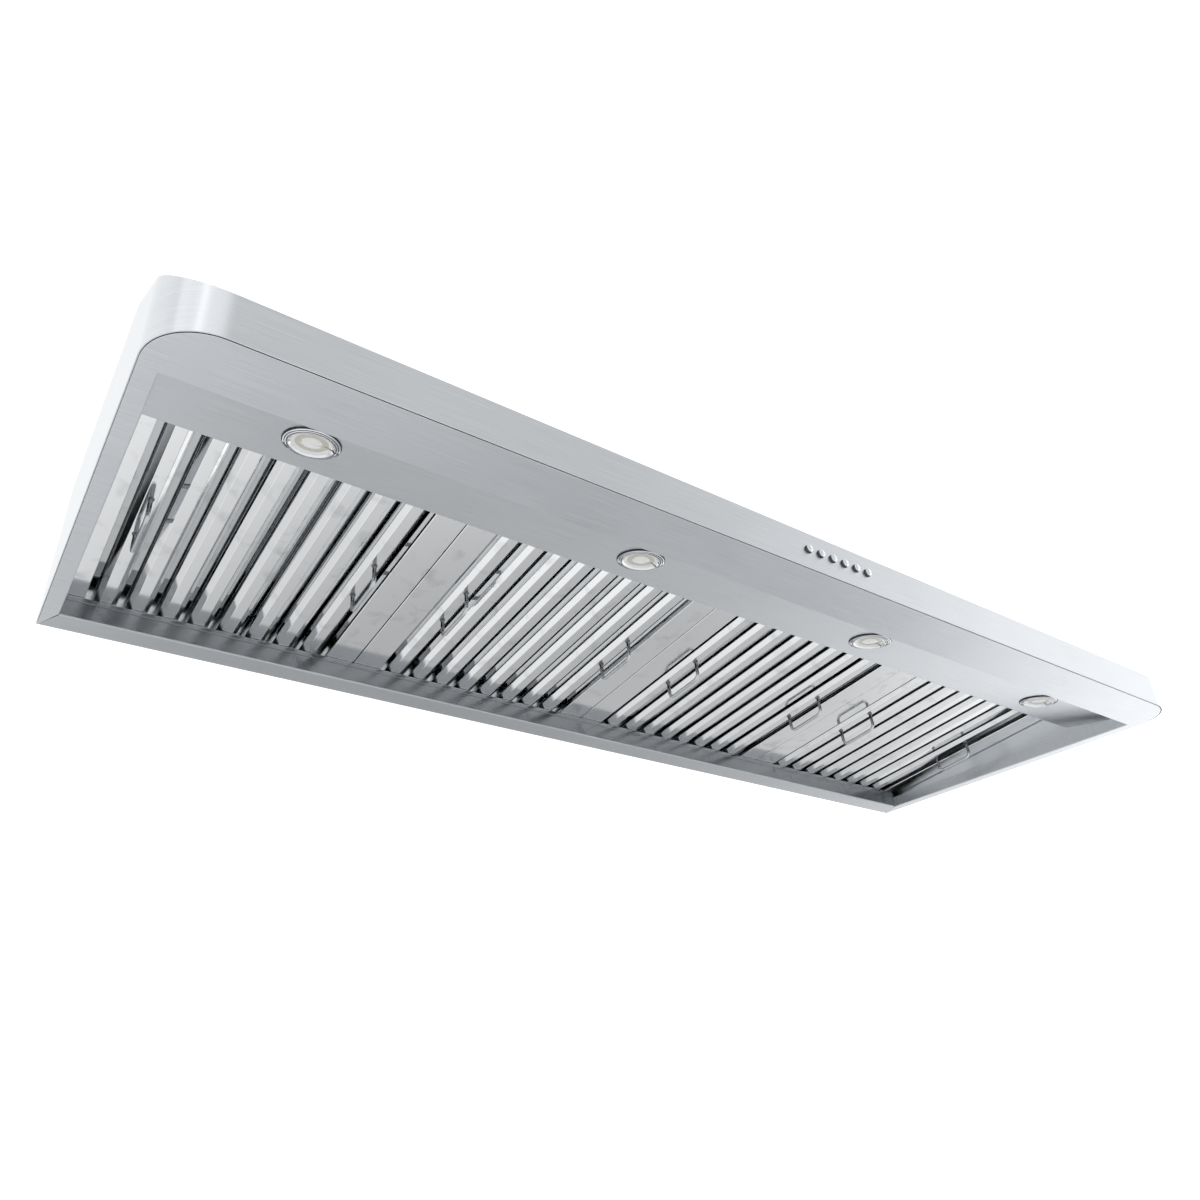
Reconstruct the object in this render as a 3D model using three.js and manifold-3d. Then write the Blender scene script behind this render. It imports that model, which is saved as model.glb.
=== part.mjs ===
// Under cabinet range hood, 60 inch: a folded stainless canopy with baffle filters, puck lights,
// push buttons, two double-wheel blowers and rectangular duct collars with backdraft flaps.
// Millimetres. Inside the hood group X runs along the front, Y from the front (0) to the wall,
// and Z up from the underside (0). The exported group puts its origin on the top face,
// at the middle of the flat part that is screwed to the cabinet.
import * as THREE from "three";
import { mergeVertices } from "three/addons/utils/BufferGeometryUtils.js";
import Module from "manifold-3d";

const wasm = await Module();
wasm.setup();

// ---- driving dimensions: canopy ----
const WIDTH = 1524;
const DEPTH = 581;
const HEIGHT = 204;
const BAND_HEIGHT = 49.5; // upright front edge, below the sloped part of the top
const SLOPE_RUN = 220; // plan depth of the sloped part
const CORNER_R = 57; // upright front corners, in plan
const SHEET = 1.2;
const GAP = 0.3; // between pieces that are fastened face to face
const SEAM = 0.6; // shadow line between the outer skin and the underside frame
const CUT = 5; // how far a cutting solid runs past what it cuts

// ---- underside frame and grease trough ----
const FRONT_STRIP = 69.7;
const SIDE_STRIP = 19.5;
const BACK_STRIP = 36.9;
const SIDE_LIP = 19;
const TROUGH_LIP = 28.8;
const TROUGH_HEM = 6.3;
const TROUGH_BACK = 24;
const MITRE_GAP = 0.4;

// ---- light panel and lights ----
const LIGHT_TILT = THREE.MathUtils.degToRad(8.6);
const LIGHT_PANEL_RISE = 21.3; // height of the panel above the underside, at the front strip's edge
const LIGHT_PANEL_REAR = 178;
const LIGHT_PANEL_LAP = 9;
const LEDGE_DEPTH = 40;
const LIGHT_COUNT = 4;
const LIGHT_PITCH = 396.5;
const LIGHT_FROM_FRONT = 124.5;
const SLEEVE_R = 24.7;
const TRIM_FLANGE = 3.8;
const TRIM_DROP = 2.8; // how far the trim stands below the panel
const TRIM_STEP = 1.2;
const SLEEVE_WALL = 1.5;
const SLEEVE_LENGTH = 12;
const LENS_LEDGE = 3.2;
const LENS_THICKNESS = 2;
const LAMP_LENGTH = 24;
const REFLECTOR_DEPTH = 8;
const EMITTER_R = 6;

// ---- baffle filters ----
const FILTER_COUNT = 4;
const FILTER_TILT = THREE.MathUtils.degToRad(6.5);
const FILTER_THICKNESS = 18;
const FILTER_SIDE_PLAY = 1;
const FILTER_PLAY = 1.2;
const FILTER_BEHIND_LIP = 17;
const FILTER_ON_LEDGE = 12;
const FILTER_SHEET = 0.8;
const RAIL_RETURN = 14;
const RAIL_MIN = 30;
const BAFFLE_PITCH = 36.5;
const BAFFLE_SLOT = 9.5;
const BAFFLE_FLAT = 12.6;
const BAFFLE_RISE = 5.2;
const HANDLE_WIRE_R = 2.5;
const HANDLE_SPAN = 66;
const HANDLE_DROP = 30;
const HANDLE_BEND_R = 9;
const HANDLE_FROM_LIP = 180;

// ---- push buttons ----
const BUTTON_COUNT = 6;
const BUTTON_PITCH = 20;
const BUTTON_R = 4.7;
const BUTTON_HEIGHT = 26;
const BUTTON_STAND = 4.2;
const BUTTON_TRAVEL = 2.5;
const BUTTON_PLAY = 0.5;
const BUTTON_RIM = 1.5;
const BUTTON_RIM_WIDTH = 1.7;
const STEM_R = 2.5;
const STEM_LENGTH = 9;
const BLOCK_DEPTH = 20;
const BLOCK_HEIGHT = 26;
const BOARD = 1.6;
const BOARD_MARGIN = 12;
const RELAY_WIDTH = 18;
const RELAY_DEPTH = 14;
const RELAY_HEIGHT = 16;

// ---- blowers ----
const BLOWER_X = 381;
const BLOWER_FROM_BACK = 141;
const BLOWER_WIDTH = 254;
const VOLUTE_WIDTH = 86;
const VOLUTE_SHEET = 1;
const VOLUTE_GROWTH = 22;
const VOLUTE_START = THREE.MathUtils.degToRad(95);
const VOLUTE_TIP_GAP = 6;
const VOLUTE_ABOVE_FILTER = 7;
const VOLUTE_BELOW_TOP = 11;
const WHEEL_END_PLAY = 4;
const WHEEL_BLADES = 12;
const BLADE_DEPTH = 7.5;
const BLADE_SHEET = 0.9;
const BLADE_INSET = 0.6;
const WHEEL_PLATE = 1.5;
const WHEEL_RING = 4;
const BLADE_PITCH_ANGLE = THREE.MathUtils.degToRad(28);
const INLET_LAP = 8; // how much smaller the inlet is than the wheel
const SHAFT_R = 4;
const MOTOR_R = 34;
const MOTOR_LENGTH = 62;
const MOTOR_SHOULDER = 9;
const STRAP = 2;
const STRAP_WIDTH = 24;

// ---- duct collars, flaps and wiring ----
const COLLAR_DEPTH = 82.5;
const COLLAR_HEIGHT = 25;
const COLLAR_SHEET = 1;
const COLLAR_FLANGE = 16;
const FLAP_PLAY = 2;
const FLAP_HEIGHT = 5;
const FLAP_PIN_R = 1.3;
const SCREW_HOLE_R = 3.5;
const SCREW_INSET_X = 90;
const SCREW_INSET_Y = 40;
const BOX_WIDTH = 140;
const BOX_DEPTH = 90;
const BOX_HEIGHT = 46;
const BUSHING_R = 10.7;
const BUSHING_WALL = 2;
const BUSHING_RIM = 3;
const BUSHING_FROM_BACK = 50;

// ---- sizes that follow from them ----
const HALF = WIDTH / 2;
const OPEN_HALF = HALF - SIDE_STRIP;
const SLOPE = (HEIGHT - BAND_HEIGHT) / SLOPE_RUN;
const LIP_Y = DEPTH - BACK_STRIP;
const TOP_MIDDLE_Y = (SLOPE_RUN + DEPTH) / 2;
const INSIDE_TOP = HEIGHT - SHEET - GAP;
const FILTER_PITCH = (WIDTH - 2 * SHEET - 2 * FILTER_SIDE_PLAY) / FILTER_COUNT;
const FILTER_WIDTH = FILTER_PITCH - FILTER_PLAY;
const SLOT_SIDE = Math.floor((FILTER_WIDTH / 2 - RAIL_MIN) / BAFFLE_PITCH);
const FILTER_REST = TROUGH_LIP + GAP;
const FILTER_FRONT = (LIP_Y - LIGHT_PANEL_REAR + FILTER_ON_LEDGE) / Math.cos(FILTER_TILT);
const SLEEVE_HOLE_R = SLEEVE_R + GAP;
const SLEEVE_BORE = SLEEVE_R - SLEEVE_WALL;
const WINDOW_R = SLEEVE_BORE - LENS_LEDGE;
const TRIM_R = SLEEVE_R + TRIM_FLANGE;
const BUTTON_RIM_R = BUTTON_R + BUTTON_RIM_WIDTH;
const LENS_R = SLEEVE_BORE - GAP;
const BLOWER_Y = DEPTH - BLOWER_FROM_BACK;
const BLOWER_FLOOR = filterFace(BLOWER_Y) + FILTER_THICKNESS + VOLUTE_ABOVE_FILTER;
const BOTTOM_TURN = (1.5 * Math.PI - VOLUTE_START) / (2 * Math.PI - VOLUTE_START);
const BOTTOM_GROWTH = VOLUTE_GROWTH * BOTTOM_TURN;
const VOLUTE_R = (INSIDE_TOP - VOLUTE_BELOW_TOP - BLOWER_FLOOR - BOTTOM_GROWTH) / 2;
const BLOWER_Z = BLOWER_FLOOR + VOLUTE_R + BOTTOM_GROWTH;
const WHEEL_R = VOLUTE_R - VOLUTE_TIP_GAP;
const VOLUTE_X = (BLOWER_WIDTH - VOLUTE_WIDTH) / 2;
const NECK_DEPTH = COLLAR_DEPTH - 2 * COLLAR_SHEET;
const NECK_FRONT = BLOWER_Y + VOLUTE_R + VOLUTE_GROWTH - NECK_DEPTH;
const NECK_TOP = INSIDE_TOP - COLLAR_SHEET - GAP;
const COLLAR_Y = NECK_FRONT + NECK_DEPTH / 2;
const BOX_BACK = DEPTH - SHEET - GAP;
const BUTTON_BLOCK_Y = SHEET + GAP + BUTTON_RIM + BUTTON_TRAVEL + BUTTON_PLAY;
const BLOCK_WIDTH = BUTTON_COUNT * BUTTON_PITCH + BUTTON_PITCH / 4;

// ---- materials ----
const finish = (color, roughness, metalness) =>
  new THREE.MeshStandardMaterial({ color, roughness, metalness });
const brushed = () => finish("#c4c6c8", 0.34, 1);
const polished = () => finish("#d9dbdd", 0.12, 1);
const zinc = () => finish("#a9adb0", 0.5, 1);
const dark = () => finish("#2c2d2f", 0.55, 0);

// ---- solids ----
const X = new THREE.Vector3(1, 0, 0);
const Y = new THREE.Vector3(0, 1, 0);
const Z = new THREE.Vector3(0, 0, 1);
const ALONG_X = new THREE.Matrix4().makeBasis(Y, Z, X); // drawn as (y, z), carried along +X
const ALONG_BACK = new THREE.Matrix4().makeBasis(X, Z, Y.clone().negate()); // (x, z), along -Y

function solid(geometry) {
  const bare = geometry.index ? geometry.toNonIndexed() : geometry.clone();
  bare.deleteAttribute("normal");
  bare.deleteAttribute("uv");
  const merged = mergeVertices(bare, 1e-4);
  const vertProperties = merged.attributes.position.array;
  const triVerts = new Uint32Array(merged.index.array);
  return new wasm.Manifold(new wasm.Mesh({ numProp: 3, vertProperties, triVerts }));
}

function geometryOf(body) {
  const mesh = body.getMesh();
  const geometry = new THREE.BufferGeometry();
  geometry.setAttribute("position", new THREE.BufferAttribute(mesh.vertProperties, 3));
  geometry.setIndex(new THREE.BufferAttribute(mesh.triVerts, 1));
  geometry.computeVertexNormals();
  return geometry;
}

function part(name, body, material) {
  const mesh = new THREE.Mesh(geometryOf(body), material);
  mesh.name = name;
  return mesh;
}

function extrude(shape, depth, curveSegments = 24) {
  return new THREE.ExtrudeGeometry(shape, { depth, bevelEnabled: false, curveSegments });
}

function outline(points) {
  return new THREE.Shape(points.map(([a, b]) => new THREE.Vector2(a, b)));
}

// A box given by its lowest and highest corners.
function block(low, high) {
  const size = high.map((h, i) => h - low[i]);
  const middle = high.map((h, i) => (h + low[i]) / 2);
  return solid(new THREE.BoxGeometry(...size).translate(...middle));
}

// A (y, z) outline carried along X between two places.
function acrossX(points, from, to) {
  const shape = points instanceof THREE.Shape ? points : outline(points);
  return solid(extrude(shape, to - from).applyMatrix4(ALONG_X).translate(from, 0, 0));
}

// An (x, z) outline carried along Y between two places.
function acrossY(points, from, to) {
  const shape = points instanceof THREE.Shape ? points : outline(points);
  return solid(extrude(shape, to - from).applyMatrix4(ALONG_BACK).translate(0, to, 0));
}

// A round bar along X, Y or Z that starts at a point.
function bar(axis, start, radius, length, sides = 16) {
  const geometry = new THREE.CylinderGeometry(radius, radius, length, sides);
  geometry.translate(0, length / 2, 0);
  const turn = new THREE.Quaternion().setFromUnitVectors(Y, axis);
  return solid(geometry.applyQuaternion(turn).translate(...start));
}

// A closed (radius, height) profile turned about Z.
function turned(profile, segments = 16) {
  const closed = profile[0][0] > 0 ? [...profile, profile[0]] : profile;
  const points = closed.map(([r, z]) => new THREE.Vector2(r, z));
  const geometry = new THREE.LatheGeometry(points, segments);
  return solid(geometry.rotateX(Math.PI / 2));
}

const mirrored = (points) => [...points, ...points.map(([a, b]) => [-a, b]).reverse()];
const evenly = (count, pitch) =>
  Array.from({ length: count }, (_, i) => (i - (count - 1) / 2) * pitch);

// Height of the filters' lower face and of the light panel's lower face at a depth y.
function filterFace(y) {
  return FILTER_REST + (LIP_Y - y) * Math.tan(FILTER_TILT);
}
function lightFace(y) {
  return LIGHT_PANEL_RISE + (y - FRONT_STRIP) * Math.tan(LIGHT_TILT);
}

// ---- canopy ----
// Plan of the hood drawn in by an inset, with its round front corners, up to a back edge.
function plan(inset, back) {
  const x = HALF - inset;
  const shape = new THREE.Shape();
  shape.moveTo(x, back);
  shape.lineTo(-x, back);
  shape.lineTo(-x, CORNER_R);
  shape.absarc(-HALF + CORNER_R, CORNER_R, CORNER_R - inset, Math.PI, 1.5 * Math.PI);
  shape.lineTo(HALF - CORNER_R, inset);
  shape.absarc(HALF - CORNER_R, CORNER_R, CORNER_R - inset, 1.5 * Math.PI, 2 * Math.PI);
  return shape;
}

function canopySkin() {
  const outside = solid(extrude(plan(0, DEPTH), HEIGHT));
  const inside = solid(extrude(plan(SHEET, DEPTH + CUT), HEIGHT + 2 * CUT).translate(0, 0, -CUT));
  const above = acrossX(
    [
      [-CUT, BAND_HEIGHT - CUT * SLOPE],
      [SLOPE_RUN, HEIGHT],
      [SLOPE_RUN, HEIGHT + CUT],
      [-CUT, HEIGHT + CUT],
    ],
    -HALF - CUT,
    HALF + CUT,
  );
  let skin = outside.subtract(inside).subtract(above);
  for (const x of evenly(BUTTON_COUNT, BUTTON_PITCH)) {
    const start = [x, -CUT, BUTTON_HEIGHT];
    skin = skin.subtract(bar(Y, start, BUTTON_R + BUTTON_PLAY, 2 * CUT, 24));
  }
  return skin;
}

// Sloped and flat top in one folded sheet, let in flush between the skin's sides.
function topCover() {
  const inset = SHEET + GAP;
  const drop = SHEET * Math.hypot(1, SLOPE);
  const fold = SLOPE_RUN + (drop - SHEET) / SLOPE;
  const profile = [
    [0, BAND_HEIGHT],
    [0, BAND_HEIGHT - drop],
    [fold, HEIGHT - SHEET],
    [DEPTH, HEIGHT - SHEET],
    [DEPTH, HEIGHT],
    [SLOPE_RUN, HEIGHT],
  ];
  const sheet = acrossX(profile, -HALF, HALF);
  let cover = sheet.intersect(solid(extrude(plan(inset, DEPTH), HEIGHT + CUT)));
  const low = HEIGHT - SHEET - CUT;
  const high = HEIGHT + CUT;
  const holeX = BLOWER_WIDTH / 2 + COLLAR_SHEET + GAP;
  const holeY = COLLAR_DEPTH / 2 + COLLAR_SHEET + GAP;
  for (const side of [-1, 1]) {
    const x = side * BLOWER_X;
    const hole = block([x - holeX, COLLAR_Y - holeY, low], [x + holeX, COLLAR_Y + holeY, high]);
    cover = cover.subtract(hole);
    for (const y of [SLOPE_RUN + SCREW_INSET_Y, DEPTH - SCREW_INSET_Y]) {
      const start = [side * (HALF - SCREW_INSET_X), y, low];
      cover = cover.subtract(bar(Z, start, SCREW_HOLE_R, high - low, 12));
    }
  }
  const cable = [0, DEPTH - BUSHING_FROM_BACK, low];
  return cover.subtract(bar(Z, cable, BUSHING_R + GAP, high - low));
}

function backPanel() {
  const x = HALF - SHEET - GAP;
  return block([-x, DEPTH - SHEET, SHEET + GAP], [x, DEPTH, INSIDE_TOP]);
}

// ---- underside frame and grease trough ----
// Front and side strips with their upstands, mitred to the trough at the back corners.
function undersideFrame() {
  const outer = HALF - SHEET - SEAM;
  const front = FRONT_STRIP - SHEET;
  const strips = solid(extrude(plan(SHEET + SEAM, DEPTH), SHEET));
  const side = OPEN_HALF + SHEET;
  const wall = block([-side, front, 0], [side, LIP_Y, SIDE_LIP]);
  const lip = block([-OPEN_HALF, front, 0], [OPEN_HALF, FRONT_STRIP, frontLip()]);
  const opening = block([-OPEN_HALF, FRONT_STRIP, -CUT], [OPEN_HALF, LIP_Y, SIDE_LIP + CUT]);
  const trough = solid(
    extrude(
      outline(
        mirrored([
          [OPEN_HALF, LIP_Y],
          [outer, DEPTH],
          [outer, DEPTH + CUT],
        ]),
      ),
      4 * CUT,
    ).translate(0, 0, -CUT),
  );
  return strips.add(wall).add(lip).subtract(opening).subtract(trough);
}

// The front upstand stops just under the light panel.
function frontLip() {
  return lightFace(FRONT_STRIP - SHEET) - GAP;
}

// A channel along the back: its hemmed lip holds up the filters and keeps the grease in.
function greaseTrough() {
  const outer = HALF - SHEET - SEAM - MITRE_GAP;
  const inner = OPEN_HALF - MITRE_GAP;
  const floor = solid(
    extrude(
      outline(
        mirrored([
          [inner, LIP_Y],
          [outer, DEPTH],
        ]),
      ),
      SHEET,
    ),
  );
  const back = DEPTH - SHEET - GAP;
  const lip = block([-inner, LIP_Y, 0], [inner, LIP_Y + SHEET, TROUGH_LIP]);
  const hemLow = TROUGH_LIP - TROUGH_HEM;
  const hem = block([-inner, LIP_Y - SHEET, hemLow], [inner, LIP_Y + SHEET, TROUGH_LIP]);
  const rear = block([-inner, back - SHEET, 0], [inner, back, TROUGH_BACK]);
  return floor.add(lip).add(hem).add(rear);
}

// ---- light panel ----
// Tilted panel that holds the lights; its back edge stands up and folds to a ledge for the filters.
function lightPanel() {
  const front = FRONT_STRIP - LIGHT_PANEL_LAP;
  const rear = LIGHT_PANEL_REAR;
  const inside = rear - SHEET;
  const ledge = rear - LEDGE_DEPTH;
  const rest = (y) => filterFace(y) - GAP;
  const thick = SHEET / Math.cos(LIGHT_TILT);
  const half = HALF - SHEET - GAP;
  const profile = [
    [front, lightFace(front)],
    [rear, lightFace(rear)],
    [rear, rest(rear)],
    [ledge, rest(ledge)],
    [ledge, rest(ledge) - SHEET],
    [inside, rest(inside) - SHEET],
    [inside, lightFace(inside) + thick],
    [front, lightFace(front) + thick],
  ];
  let panel = acrossX(profile, -half, half);
  for (const x of evenly(LIGHT_COUNT, LIGHT_PITCH)) {
    const hole = bar(Z, [0, 0, -CUT], SLEEVE_HOLE_R, 2 * CUT);
    const tilted = hole.rotate([THREE.MathUtils.radToDeg(LIGHT_TILT), 0, 0]);
    panel = panel.subtract(tilted.translate([x, LIGHT_FROM_FRONT, lightFace(LIGHT_FROM_FRONT)]));
  }
  return panel;
}

// Stepped ring: a flange under the panel, a sleeve through it and a ledge for the lens.
function lightTrim() {
  return turned([
    [SLEEVE_R, SLEEVE_LENGTH],
    [SLEEVE_BORE, SLEEVE_LENGTH],
    [SLEEVE_BORE, 0],
    [WINDOW_R, 0],
    [WINDOW_R, TRIM_STEP - TRIM_DROP],
    [SLEEVE_BORE - TRIM_STEP / 2, TRIM_STEP - TRIM_DROP],
    [SLEEVE_BORE - TRIM_STEP / 2, -TRIM_DROP],
    [TRIM_R - TRIM_STEP, -TRIM_DROP],
    [TRIM_R, TRIM_STEP - TRIM_DROP],
    [TRIM_R, -GAP],
    [SLEEVE_R, -GAP],
  ]);
}

function lightLens() {
  return turned([
    [0, GAP],
    [LENS_R, GAP],
    [LENS_R, GAP + LENS_THICKNESS],
    [0, GAP + LENS_THICKNESS],
  ]);
}

// Lamp body with its reflector cup open towards the lens.
function lampModule() {
  const low = LENS_THICKNESS + 2 * GAP;
  return turned([
    [0, low + REFLECTOR_DEPTH],
    [EMITTER_R, low + REFLECTOR_DEPTH],
    [WINDOW_R, low],
    [LENS_R, low],
    [LENS_R, low + LAMP_LENGTH / 2],
    [LENS_R - LENS_LEDGE, low + LAMP_LENGTH],
    [0, low + LAMP_LENGTH],
  ]);
}

function lights() {
  const group = new THREE.Group();
  evenly(LIGHT_COUNT, LIGHT_PITCH).forEach((x, i) => {
    const light = new THREE.Group();
    const number = i + 1;
    light.position.set(x, LIGHT_FROM_FRONT, lightFace(LIGHT_FROM_FRONT));
    light.rotation.x = LIGHT_TILT;
    light.add(part("light_trim_" + number, lightTrim(), polished()));
    light.add(part("light_lens_" + number, lightLens(), finish("#f3efe6", 0.2, 0)));
    light.add(part("lamp_module_" + number, lampModule(), finish("#d8d4c8", 0.3, 0.6)));
    group.add(light);
  });
  return group;
}

// ---- baffle filter ----
// Filter coordinates: Y along the baffles, 0 over the trough's lip, and Z square to the face.
function baffleSection(low, high) {
  const half = (BAFFLE_PITCH - BAFFLE_SLOT) / 2;
  const flat = BAFFLE_FLAT / 2;
  const up = Math.sign(high - low);
  const wall = FILTER_SHEET * up;
  const bevel = Math.atan2(Math.abs(high - low), half - flat);
  const lean = FILTER_SHEET * Math.tan(bevel / 2);
  return mirrored([
    [flat, low],
    [half, high],
    [half - FILTER_SHEET, high],
    [flat - lean, low + wall],
  ]);
}

function filterBody() {
  const half = FILTER_WIDTH / 2;
  const front = -FILTER_FRONT;
  const back = FILTER_BEHIND_LIP;
  const slots = evenly(2 * SLOT_SIDE + 1, BAFFLE_PITCH);
  const railInner = SLOT_SIDE * BAFFLE_PITCH + BAFFLE_SLOT / 2;
  const top = FILTER_THICKNESS;
  const channel = (w) => [
    [w, 0],
    [w, top],
    [w - RAIL_RETURN, top],
    [w - RAIL_RETURN, top - FILTER_SHEET],
    [w - FILTER_SHEET, top - FILTER_SHEET],
    [w - FILTER_SHEET, FILTER_SHEET],
    [railInner + FILTER_SHEET, FILTER_SHEET],
    [railInner + FILTER_SHEET, BAFFLE_RISE],
    [railInner, BAFFLE_RISE],
    [railInner, 0],
  ];
  let body = acrossY(channel(half), front, back);
  body = body.add(acrossY(channel(half).map(([a, b]) => [-a, b]).reverse(), front, back));
  for (const [from, to] of [[front, front + FILTER_SHEET], [back - FILTER_SHEET, back]]) {
    body = body.add(block([-half, from, 0], [half, to, top]));
  }
  const reach = FILTER_SHEET / 2;
  const section = (points, x) => points.map(([a, b]) => [a + x, b]);
  const lower = baffleSection(0, BAFFLE_RISE);
  const upper = baffleSection(top, top - BAFFLE_RISE).reverse();
  for (const x of slots) {
    body = body.add(acrossY(section(upper, x), front + reach, back - reach));
  }
  for (const x of slots.slice(1)) {
    const middle = x - BAFFLE_PITCH / 2;
    body = body.add(acrossY(section(lower, middle), front + reach, back - reach));
  }
  return body;
}

// A bent wire: down from the baffle, along it, and up again.
function filterHandle() {
  const half = HANDLE_SPAN / 2;
  const r = HANDLE_BEND_R;
  const low = HANDLE_WIRE_R - HANDLE_DROP;
  const at = (y, z) => new THREE.Vector3(0, y, z);
  const wire = new THREE.CurvePath();
  wire.add(new THREE.LineCurve3(at(-half, -GAP), at(-half, low + r)));
  wire.add(new THREE.QuadraticBezierCurve3(at(-half, low + r), at(-half, low), at(r - half, low)));
  wire.add(new THREE.LineCurve3(at(r - half, low), at(half - r, low)));
  wire.add(new THREE.QuadraticBezierCurve3(at(half - r, low), at(half, low), at(half, low + r)));
  wire.add(new THREE.LineCurve3(at(half, low + r), at(half, -GAP)));
  const section = new THREE.Shape().absarc(0, 0, HANDLE_WIRE_R, 0, 2 * Math.PI);
  const settings = { extrudePath: wire, steps: 13, curveSegments: 4, bevelEnabled: false };
  return solid(new THREE.ExtrudeGeometry(section, settings));
}

function filters() {
  const group = new THREE.Group();
  const body = filterBody();
  const handle = filterHandle();
  const handleX = (SLOT_SIDE - 0.5) * BAFFLE_PITCH;
  evenly(FILTER_COUNT, FILTER_PITCH).forEach((x, i) => {
    const filter = new THREE.Group();
    filter.position.set(x, LIP_Y, FILTER_REST);
    filter.rotation.x = -FILTER_TILT;
    filter.add(part("filter_" + (i + 1), body, brushed()));
    for (const [letter, side] of [["a", -1], ["b", 1]]) {
      const pull = part("filter_handle_" + (i + 1) + letter, handle, polished());
      pull.position.set(side * handleX, -HANDLE_FROM_LIP, 0);
      filter.add(pull);
    }
    group.add(filter);
  });
  return group;
}

// ---- push buttons ----
// Cap, rim that keeps it behind the band, and the stem that works the switch.
function button() {
  const rimStart = SHEET + GAP;
  const rimEnd = rimStart + BUTTON_RIM;
  return turned(
    [
      [0, -BUTTON_STAND],
      [BUTTON_R, -BUTTON_STAND],
      [BUTTON_R, rimStart],
      [BUTTON_RIM_R, rimStart],
      [BUTTON_RIM_R, rimEnd],
      [STEM_R, rimEnd],
      [STEM_R, rimEnd + STEM_LENGTH],
      [0, rimEnd + STEM_LENGTH],
    ],
    16,
  );
}

function switchBlock() {
  const low = BUTTON_HEIGHT - BLOCK_HEIGHT / 2;
  const back = BUTTON_BLOCK_Y + BLOCK_DEPTH;
  const half = BLOCK_WIDTH / 2;
  let body = block([-half, BUTTON_BLOCK_Y, low], [half, back, low + BLOCK_HEIGHT]);
  const depth = STEM_LENGTH + BUTTON_PLAY;
  for (const x of evenly(BUTTON_COUNT, BUTTON_PITCH)) {
    const start = [x, BUTTON_BLOCK_Y - CUT, BUTTON_HEIGHT];
    body = body.subtract(bar(Y, start, STEM_R + BUTTON_PLAY, depth + CUT, 8));
  }
  return body;
}

// Printed circuit board with its row of relays, behind the switches.
function controlBoard() {
  const front = BUTTON_BLOCK_Y + BLOCK_DEPTH + GAP;
  const half = BLOCK_WIDTH / 2 + BOARD_MARGIN;
  const low = BUTTON_HEIGHT - BLOCK_HEIGHT / 2;
  let board = block([-half, front, low], [half, front + BOARD, low + BLOCK_HEIGHT]);
  for (const x of evenly(BUTTON_COUNT - 2, 1.5 * BUTTON_PITCH)) {
    const near = [x - RELAY_WIDTH / 2, front + BOARD / 2, BUTTON_HEIGHT - RELAY_HEIGHT / 2];
    const far = [x + RELAY_WIDTH / 2, front + BOARD + RELAY_DEPTH, BUTTON_HEIGHT + RELAY_HEIGHT / 2];
    board = board.add(block(near, far));
  }
  return board;
}

function controls() {
  const group = new THREE.Group();
  const cap = button();
  evenly(BUTTON_COUNT, BUTTON_PITCH).forEach((x, i) => {
    const push = part("button_" + (i + 1), cap, polished());
    push.position.set(x, 0, BUTTON_HEIGHT);
    push.rotation.x = -Math.PI / 2;
    group.add(push);
  });
  group.add(part("switch_block", switchBlock(), dark()));
  group.add(part("control_board", controlBoard(), finish("#2f6b46", 0.6, 0)));
  return group;
}

// ---- blowers ----
// Scroll outline, (y, z) about the shaft: the radius grows evenly round to the outlet neck,
// which runs straight up to the top cover. The inset draws the inside of the sheet.
function scroll(inset, top) {
  const shape = new THREE.Shape();
  const turns = 14;
  const end = 2 * Math.PI;
  const neck = NECK_FRONT - BLOWER_Y + inset;
  const first = Math.max(VOLUTE_START, Math.acos(neck / (VOLUTE_R - inset)));
  shape.moveTo(neck, top);
  for (let i = 0; i <= turns; i++) {
    const angle = first + ((end - first) * i) / turns;
    const growth = (VOLUTE_GROWTH * (angle - first)) / (end - first);
    const radius = VOLUTE_R + growth - inset;
    shape.lineTo(i ? radius * Math.cos(angle) : neck, radius * Math.sin(angle));
  }
  shape.lineTo(VOLUTE_R + VOLUTE_GROWTH - inset, top);
  return shape;
}

function volute() {
  const half = VOLUTE_WIDTH / 2;
  const top = NECK_TOP - BLOWER_Z;
  const outside = acrossX(scroll(0, top), -half, half);
  const inside = acrossX(
    scroll(VOLUTE_SHEET, top + CUT),
    VOLUTE_SHEET - half,
    half - VOLUTE_SHEET,
  );
  const inlet = bar(X, [-half - CUT, 0, 0], WHEEL_R - INLET_LAP, VOLUTE_WIDTH + 2 * CUT);
  return outside.subtract(inside).subtract(inlet);
}

// Squirrel-cage wheel about X: a plate with a hub, a ring, and blades between them.
function wheel() {
  const length = VOLUTE_WIDTH - 2 * VOLUTE_SHEET - 2 * WHEEL_END_PLAY;
  const half = length / 2;
  const plate = bar(X, [-half, 0, 0], WHEEL_R, WHEEL_PLATE);
  const hub = bar(X, [-half, 0, 0], 3 * SHAFT_R, length / 4);
  const ringStart = half - WHEEL_RING;
  const ring = bar(X, [ringStart, 0, 0], WHEEL_R, WHEEL_RING).subtract(
    bar(X, [ringStart - CUT, 0, 0], WHEEL_R - BLADE_DEPTH, 2 * CUT + WHEEL_RING),
  );
  let body = plate.add(hub).add(ring);
  for (let i = 0; i < WHEEL_BLADES; i++) {
    const blade = new THREE.BoxGeometry(length - WHEEL_PLATE, BLADE_SHEET, BLADE_DEPTH)
      .rotateX(BLADE_PITCH_ANGLE)
      .translate(0, 0, WHEEL_R - BLADE_DEPTH / 2 - BLADE_INSET)
      .rotateX((2 * Math.PI * i) / WHEEL_BLADES);
    body = body.add(solid(blade));
  }
  return body.subtract(bar(X, [-half - CUT, 0, 0], SHAFT_R + GAP, length + 2 * CUT, 12));
}

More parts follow.
